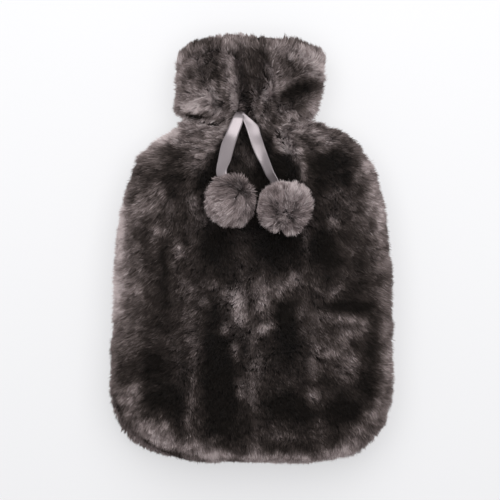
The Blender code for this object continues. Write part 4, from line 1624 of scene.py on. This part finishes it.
@dataclass(frozen=True)
class Tie:
    """The satin ribbon, from pompom to pompom through the slit at the gather.

    cup: how far its middle stands above its edges. steps: the curve's steps between two rows of the
    table. strips: the parts of its width.
    """

    node: str = "ribbon"
    width: float = 0.0100
    thickness: float = 0.00035
    cup: float = 0.0005
    steps: int = 8
    strips: int = 8

    def edges(self) -> tuple[Array, Array]:
        """Both edges, on smooth curves through the table's rows.

        Returns:
            (n, 3) points of the left and of the right edge.
        """
        rows = np.concatenate([RIBBON_EDGES[:1], RIBBON_EDGES, RIBBON_EDGES[-1:]])
        before, start, end, after = (rows[k : len(rows) - 3 + k, None] for k in range(4))
        s = (np.arange(self.steps) / self.steps)[None, :, None]
        curve = (
            2.0 * start
            + (end - before) * s
            + (2.0 * before - 5.0 * start + 4.0 * end - after) * s**2
            + (3.0 * start - before - 3.0 * end + after) * s**3
        ) / 2.0
        curve = np.concatenate([curve.reshape(-1, RIBBON_EDGES.shape[1]), RIBBON_EDGES[-1:]])
        return curve[:, :3], curve[:, 3:]

    def build(self, finish: bpy.types.Material) -> None:
        """The ribbon: straight lines from edge to edge, slightly cupped, with a woven thickness.

        Args:
            finish: the satin.
        """
        left, right = self.edges()
        line = 0.5 * (left + right)
        normal = unit(np.cross(right - left, np.gradient(line, axis=0)))
        place = np.linspace(-0.5, 0.5, self.strips + 1)[None, :, None]
        points = line[:, None] + place * (right - left)[:, None]
        points = points + self.cup * (1.0 - 4.0 * place**2) * normal[:, None]
        quads = grid_faces(*points.shape[:2])
        run = np.concatenate([[0.0], np.cumsum(np.linalg.norm(np.diff(line, axis=0), axis=1))])
        u = np.broadcast_to(place[..., 0] + 0.5, points.shape[:2])
        v = np.broadcast_to((run / run[-1])[:, None], points.shape[:2])
        uv = np.stack([u, v], axis=-1).reshape(-1, 2)[quads.ravel()]
        made = mesh_object(
            "satin_ribbon", points.reshape(-1, 3), quads.ravel(), np.full(len(quads), 4), uv
        )
        thick = made.modifiers.new("thickness", "SOLIDIFY")
        thick.thickness = self.thickness
        thick.offset = 0.0
        made.data.materials.append(finish)
        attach(made, "root")
        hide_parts(self.node)
        LOG.info("ribbon: %.1f mm long", 1000.0 * run[-1])


@dataclass(frozen=True)
class Pompom:
    """A pompom: a wound heart and threads that stand out of it in tufts.

    Lengths other than radius and width are shares of the radius. limits: the planes that it is
    pressed against, by normal and distance. combed: the direction in which the threads lie over.
    heart: the wound middle. rooted: how far out in the heart the threads start. bulges: a direction
    in degrees, its half-width and how far the outline swells there. lights: a place in the plan, its
    size and how much paler it is, a painted highlight, and below zero a painted shade. valley_tone:
    painted shade between two tufts. side_, top_: what the threads that point aside and up have
    more, as painted light.
    """

    node: str
    centre: Array
    radius: float
    limits: tuple[tuple[Array, float], ...]
    combed: tuple[float, float, float]
    strands: int = 22000
    width: float = 0.00070
    widths: Band = (0.7, 1.2)
    heart: float = 0.52
    rooted: float = 0.9
    bend_out: float = 0.80
    longest: float = 1.10
    stray: float = 0.055
    stray_length: float = 0.040
    tufts: int = 280
    tuft_pull: float = 0.50
    tuft_lean: float = 0.210
    tuft_length: float = 0.060
    tuft_fall: float = 0.25
    unevenness: float = 0.05
    uneven_size: float = 0.24
    uneven_seed: int = 11
    base: float = 0.52
    tuft_tone: float = 0.17
    stray_tone: float = 0.11
    valley_tone: float = 1.8
    cloud_tone: float = 0.13
    cloud_size: float = 0.45
    cloud_slant: float = 0.7
    guard_share: float = 0.16
    guard_tone: float = 0.22
    guard_width: float = 1.5
    side_light: float = 0.10
    side_light_band: Band = (0.45, 0.95)
    bare: float = 0.12
    side_bare: float = 0.22
    side_bare_band: Band = (0.55, 1.0)
    top_bare: float = 0.55
    top_bare_band: Band = (0.55, 0.95)
    twist: float = 0.6
    flat_up: float = 0.6
    heart_turns: int = 36
    heart_rings: int = 19
    heart_pole: float = 0.04
    heart_wave: float = 0.03
    heart_windings: int = 9
    heart_slant: int = 6
    heart_tones: Band = (0.02, 0.30)
    heart_depths: Band = (0.02, 0.3)
    heart_shades: int = 7
    bulges: tuple[tuple[float, float, float], ...] = ()
    lights: tuple[tuple[float, float, float, float], ...] = ()
    seed: int = 1

    CLOUD_PLACES: ClassVar[Band] = (5.0, 3.0)

    def reach(self, way: Array) -> Array:
        """How far a thread may stand out: a little past the radius, or to the neighbour or cloth.

        Args:
            way: (n, 3) directions of the threads.

        Returns:
            The distance from the centre, in metres.
        """
        reach = np.full(len(way), self.longest * self.radius)
        for normal, distance in self.limits:
            facing = way @ normal
            held = distance / np.maximum(facing, TINY)
            reach = np.where(facing > 0.0, np.minimum(reach, held), reach)
        return reach

    def bulge(self, way: Array) -> Array:
        """How far the outline swells: each bulge is a bell round its direction in the plan.

        Args:
            way: (n, 3) directions of the threads.

        Returns:
            The swelling as a share of the radius, fading to none at the top.
        """
        turn = np.degrees(np.arctan2(way[:, 1], way[:, 0]))
        swell = np.zeros(len(way))
        for middle, half, much in self.bulges:
            aside = (turn - middle + 180.0) % 360.0 - 180.0
            swell += much * np.exp(-((aside / half) ** 2))
        return swell * np.hypot(way[:, 0], way[:, 1]) ** 2

    def light(self, way: Array) -> Array:
        """How much paler the threads are: each light is a bell round its place in the plan.

        Args:
            way: (n, 3) directions of the threads.

        Returns:
            The painted highlight, and where below zero the painted shade, added to the tone.
        """
        tone = np.zeros(len(way))
        for x, y, half, much in self.lights:
            tone += much * np.exp(-((way[:, 0] - x) ** 2 + (way[:, 1] - y) ** 2) / half**2)
        return tone

    def build(self, finish: bpy.types.Material) -> None:
        """The threads and the heart, riding on the cover and standing for the solid.

        A thread points from the centre, is drawn to its tuft's middle, leans with the tuft and by
        itself, and ends at the radius or where a limit holds it.

        Args:
            finish: the pompom's pile.
        """
        rng = np.random.default_rng(self.seed)
        way = unit(rng.normal(size=(self.strands, 3)))
        middles = unit(rng.normal(size=(self.tufts, 3)))
        shared = rng.uniform(-1.0, 1.0, (self.tufts, 4))
        tuft = np.argmax(way @ middles.T, axis=1)
        apart = np.linalg.norm(middles[tuft] - way, axis=1)
        lean = self.tuft_lean * shared[tuft, :3] + self.stray * rng.normal(size=way.shape)
        aim = unit(way + self.tuft_pull * (middles[tuft] - way) + lean + np.array(self.combed))
        length = 1.0 + self.stray_length * rng.normal(size=len(way))
        length = length + self.tuft_length * shared[tuft, 3] - self.tuft_fall * apart
        length = length + self.bulge(aim)
        root = self.centre + self.heart * self.rooted * self.radius * way
        first, second = self.CLOUD_PLACES
        along = first + aim[:, 0] + aim[:, 2]
        uneven = cloud(along, first + aim[:, 1], self.uneven_size, self.seed + self.uneven_seed)
        out = np.minimum(self.radius * (length + self.unevenness * uneven), self.reach(aim))
        tip = self.centre + out[:, None] * aim
        bend = self.centre + self.bend_out * out[:, None] * unit(0.5 * (way + aim))
        along = second + way[:, 0] + self.cloud_slant * way[:, 2]
        cloudy = cloud(along, second + way[:, 1], self.cloud_size, self.seed)
        guard = rng.random(len(way)) < self.guard_share
        tone = self.base + self.tuft_tone * shared[tuft, 3]
        # painted shade between tufts: threads far from their tuft's middle are darker
        tone = tone + self.stray_tone * rng.normal(size=len(way)) - self.valley_tone * apart
        tone = tone + self.cloud_tone * cloudy + self.guard_tone * guard + self.light(aim)
        # painted light: threads pointing aside are paler; aside and up they stay pale to the root
        side = np.hypot(way[:, 0], way[:, 1])
        tone = tone + self.side_light * ease(side, *self.side_light_band)
        bare = self.bare + self.side_bare * ease(side, *self.side_bare_band)
        bare = bare + self.top_bare * ease(aim[:, 2], *self.top_bare_band)
        strands = Strands(
            root=root,
            bend=bend,
            tip=tip,
            facing=unit(way + np.array([0.0, 0.0, self.flat_up])),
            width=self.width
            * rng.uniform(*self.widths, len(way))
            * np.where(guard, self.guard_width, 1.0),
            twist=rng.normal(scale=self.twist, size=len(way)),
            tone=tone,
            bare=bare,
        )
        threads = strands.build(f"{self.node}_threads", finish)
        heart = self.heart_mesh(finish)
        for piece in (threads, heart):
            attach(piece, "root")
            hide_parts(self.node)
        LOG.info("%s: %d threads", self.node, self.strands)

    def heart_mesh(self, finish: bpy.types.Material) -> bpy.types.Object:
        """The wound middle: a ball whose radius waves round it like windings of yarn.

        The radius is 1 + w sin(n a + s cos(d)) times the heart's, with a the turn round the ball
        and d the angle down from its top.

        Args:
            finish: its material.

        Returns:
            The object.
        """
        turns, rings = self.heart_turns, self.heart_rings
        around = np.linspace(0.0, 2 * math.pi, turns + 1)[:-1]
        down = np.linspace(self.heart_pole, math.pi - self.heart_pole, rings)[:, None]
        wound = np.sin(self.heart_windings * around + self.heart_slant * np.cos(down))
        size = self.heart * self.radius * (1.0 + self.heart_wave * wound)
        plan = np.stack([np.sin(down) * np.cos(around), np.sin(down) * np.sin(around)], axis=-1)
        high = np.broadcast_to(np.cos(down), size.shape)[..., None]
        points = self.centre + size[..., None] * np.concatenate([plan, high], axis=-1)
        quads = grid_faces(rings, turns, closed=True)[:, ::-1]
        caps = np.concatenate([np.arange(turns), np.arange(turns)[::-1] + (rings - 1) * turns])
        faces = np.concatenate([quads.ravel(), caps])
        sizes = np.concatenate([np.full(len(quads), 4), [turns, turns]])
        tones = np.linspace(*self.heart_tones, len(faces))
        shades = np.arange(len(faces)) % self.heart_shades
        depths = self.heart_depths[0] + self.heart_depths[1] * shades / self.heart_shades
        uv = np.stack([tones, depths], axis=-1)
        made = mesh_object(f"{self.node}_heart", points.reshape(-1, 3), faces, sizes, uv)
        made.data.materials.append(finish)
        return made


@dataclass(frozen=True)
class PompomPair:
    """Both pompoms, pressed against each other and against the cloth.

    places: node, middle across and along, height of the middle above the cloth, and radius.
    footprint: radius of the patch of cloth that a pompom presses on, and footprint_grid how many
    places round and out it is read at. clearance: what is left between them.
    """

    shape: CoverShape
    places: tuple[tuple[str, float, float, float, float], ...] = (
        ("pompom_left", -0.0164, 0.0425, 0.0205, 0.0237),
        ("pompom_right", 0.0293, 0.0349, 0.0215, 0.0250),
    )
    combs: tuple[tuple[float, float, float], ...] = ((-0.44, -0.34, 0.0), (-0.02, 0.20, 0.0))
    bulges: tuple[tuple[tuple[float, float, float], ...], ...] = (
        ((-30.0, 16.0, 0.03), (170.0, 50.0, -0.06), (100.0, 25.0, -0.04)),
        (
            (-83.0, 10.0, 0.06),
            (48.0, 18.0, 0.04),
            (100.0, 30.0, -0.08),
            (-128.0, 22.0, -0.09),
            (-45.0, 20.0, -0.06),
            (-90.0, 60.0, -0.03),
        ),
    )
    # painted highlights, and painted shade where below zero, on each pompom
    lights: tuple[tuple[tuple[float, float, float, float], ...], ...] = (
        (
            (-0.45, -0.35, 0.50, 0.16),
            (0.40, 0.45, 0.42, -0.12),
            (0.28, 0.02, 0.20, 0.16),
            (0.0, 0.8, 0.3, -0.06),
        ),
        (
            (0.0, 0.0, 1.6, 0.08),
            (0.25, 0.70, 0.45, 0.26),
            (-0.36, -0.08, 0.22, -0.22),
            (0.46, -0.04, 0.20, -0.20),
            (0.42, 0.38, 0.22, 0.18),
            (0.05, -0.12, 0.24, 0.18),
            (-0.1, -0.75, 0.4, 0.10),
            (0.10, -0.40, 0.50, 0.10),
        ),
    )
    footprint: float = 0.014
    footprint_grid: tuple[int, int] = (24, 6)
    clearance: float = 0.0003
    first_seed: int = 3

    def centre(self, x: float, y: float, above: float) -> Array:
        """A pompom's centre, above the highest cloth in the patch that it presses on.

        Args:
            x: its place across.
            y: its place along.
            above: its height above that cloth.

        Returns:
            The centre.
        """
        turns, rings = self.footprint_grid
        round_it = np.linspace(0.0, 2 * math.pi, turns)
        turn, out = np.meshgrid(round_it, np.linspace(0.0, self.footprint, rings))
        height = self.shape.front_height(x + out * np.cos(turn), y + out * np.sin(turn)).max()
        return np.array([x, y, height + above])

    def build(self, finish: bpy.types.Material) -> None:
        """Both pompoms, which meet in a plane that each reaches equally far past its middle.

        Args:
            finish: the pompoms' pile.
        """
        centres = [self.centre(x, y, above) for _, x, y, above, _ in self.places]
        radii = [place[4] for place in self.places]
        apart = float(np.linalg.norm(centres[1] - centres[0]))
        toward = (centres[1] - centres[0]) / apart
        met = 0.5 * (apart + radii[0] - radii[1])
        down = np.array([0.0, 0.0, -1.0])
        for k, (node, _, _, above, radius) in enumerate(self.places):
            beside = (toward, met) if k == 0 else (-toward, apart - met)
            limits = ((beside[0], beside[1] - self.clearance), (down, above - self.clearance))
            pompom = Pompom(
                node,
                centres[k],
                radius,
                limits,
                self.combs[k],
                bulges=self.bulges[k],
                lights=self.lights[k],
                seed=k + self.first_seed,
            )
            pompom.build(finish)


# ---- the studio ----------------------------------------------------------------------------------


@dataclass(frozen=True)
class Studio:
    """A pale floor, soft light from the mouth's side, and a camera straight above.

    photo_span: what the picture spans at the height sharp_z. floor_glow: the floor's painted glow
    at floor_slope below and above the middle. sky: strength of the even light.
    """

    photo_span: float = 0.43125
    camera_place: tuple[float, float] = (-0.0004, -0.0004)
    camera_height: float = 5.0
    sharp_z: float = 0.030
    sensor: float = 36.0
    view_end: float = 50.0
    white: Colour = (0.985, 0.985, 1.0)
    floor_size: float = 8.0
    floor_colour: Colour = (0.31, 0.31, 0.315)
    floor_roughness: float = 0.8
    floor_specular: float = 0.2
    floor_glow: tuple[float, float] = (0.562, 0.626)
    floor_slope: float = 0.22
    sky: float = 0.47
    lamp_place: tuple[float, float, float] = (0.03, 0.36, 1.06)
    lamp_size: float = 1.2
    lamp_power: float = 12.5

    def build(self) -> None:
        """The floor, the lights and the camera."""
        scene = bpy.context.scene
        scene.view_settings.view_transform = "Standard"
        self.floor()
        self.light(scene)
        self.camera(scene)

    def floor(self) -> None:
        """A flat pale floor under the cover, lit through from below like a light table.

        Its glow is painted light, and rises evenly from the picture's bottom to its top.
        """
        half = 0.5 * self.floor_size
        square = ((-half, -half, 0.0), (half, -half, 0.0), (half, half, 0.0), (-half, half, 0.0))
        made = mesh_object("floor", np.array(square), np.arange(4), np.array([4]))
        paint, tree, shader = new_material("pale_floor")
        values = {
            "Base Color": opaque(self.floor_colour),
            "Roughness": self.floor_roughness,
            "Emission Color": opaque(self.white),
            "Specular IOR Level": self.floor_specular,
        }
        set_inputs(shader, values)
        nodes, links = tree.nodes, tree.links
        place = nodes.new("ShaderNodeTexCoord")
        parts = nodes.new("ShaderNodeSeparateXYZ")
        # painted light: the floor's own glow, rising from the bottom of the picture to its top
        slope = nodes.new("ShaderNodeMapRange")
        ends = (-self.floor_slope, self.floor_slope, *self.floor_glow)
        set_inputs(slope, dict(zip(("From Min", "From Max", "To Min", "To Max"), ends)))
        links.new(place.outputs["Object"], parts.inputs["Vector"])
        links.new(parts.outputs["Y"], slope.inputs["Value"])
        links.new(slope.outputs["Result"], shader.inputs["Emission Strength"])
        made.data.materials.append(paint)

    def light(self, scene: bpy.types.Scene) -> None:
        """An even white sky and one large soft lamp.

        Args:
            scene: whose world is set.
        """
        world = bpy.data.worlds.new("studio")
        world.use_nodes = True
        sky = world.node_tree.nodes["Background"]
        set_inputs(sky, {"Color": opaque(self.white), "Strength": self.sky})
        scene.world = world
        lamp = bpy.data.lights.new("softbox", "AREA")
        lamp.shape = "SQUARE"
        lamp.size = self.lamp_size
        lamp.energy = self.lamp_power
        made = bpy.data.objects.new("softbox", lamp)
        scene.collection.objects.link(made)
        x, y, z = self.lamp_place
        made.location = self.lamp_place
        made.rotation_euler = (-math.atan2(y, z), math.atan2(x, math.hypot(y, z)), 0.0)

    def camera(self, scene: bpy.types.Scene) -> None:
        """A long lens straight above, whose square frame spans the photograph's.

        Args:
            scene: whose camera is set.
        """
        lens = bpy.data.cameras.new("camera")
        lens.sensor_width = self.sensor
        lens.lens = self.sensor * (self.camera_height - self.sharp_z) / self.photo_span
        lens.clip_end = self.view_end
        made = bpy.data.objects.new("camera", lens)
        made.location = (*self.camera_place, self.camera_height)
        scene.collection.objects.link(made)
        scene.camera = made


def main() -> None:
    """Builds the cover's looks from its cloth outwards, then the studio."""
    logging.basicConfig(level=logging.INFO, format="%(message)s")
    shape = CoverShape()
    nap = Nap(shape)
    plush, ground, yarn, satin = (
        finish.build() for finish in (PLUSH_PILE, PLUSH_GROUND, POMPOM_PILE, SATIN)
    )
    front = Pile(strands=205000, length=0.0105, width=0.00095, seed=1)
    back = Pile(strands=48000, length=0.0105, width=0.0017, rim_reach=-0.0020, seed=2)
    Panel(Face.FRONT, "front_panel", shape, nap, front, collar_density=1.35).build(plush, ground)
    Panel(Face.BACK, "back_panel", shape, nap, back, collar_density=1.2).build(plush, ground)
    Tie().build(satin)
    PompomPair(shape).build(yarn)
    Studio().build()


if __name__ == "__main__":
    main()
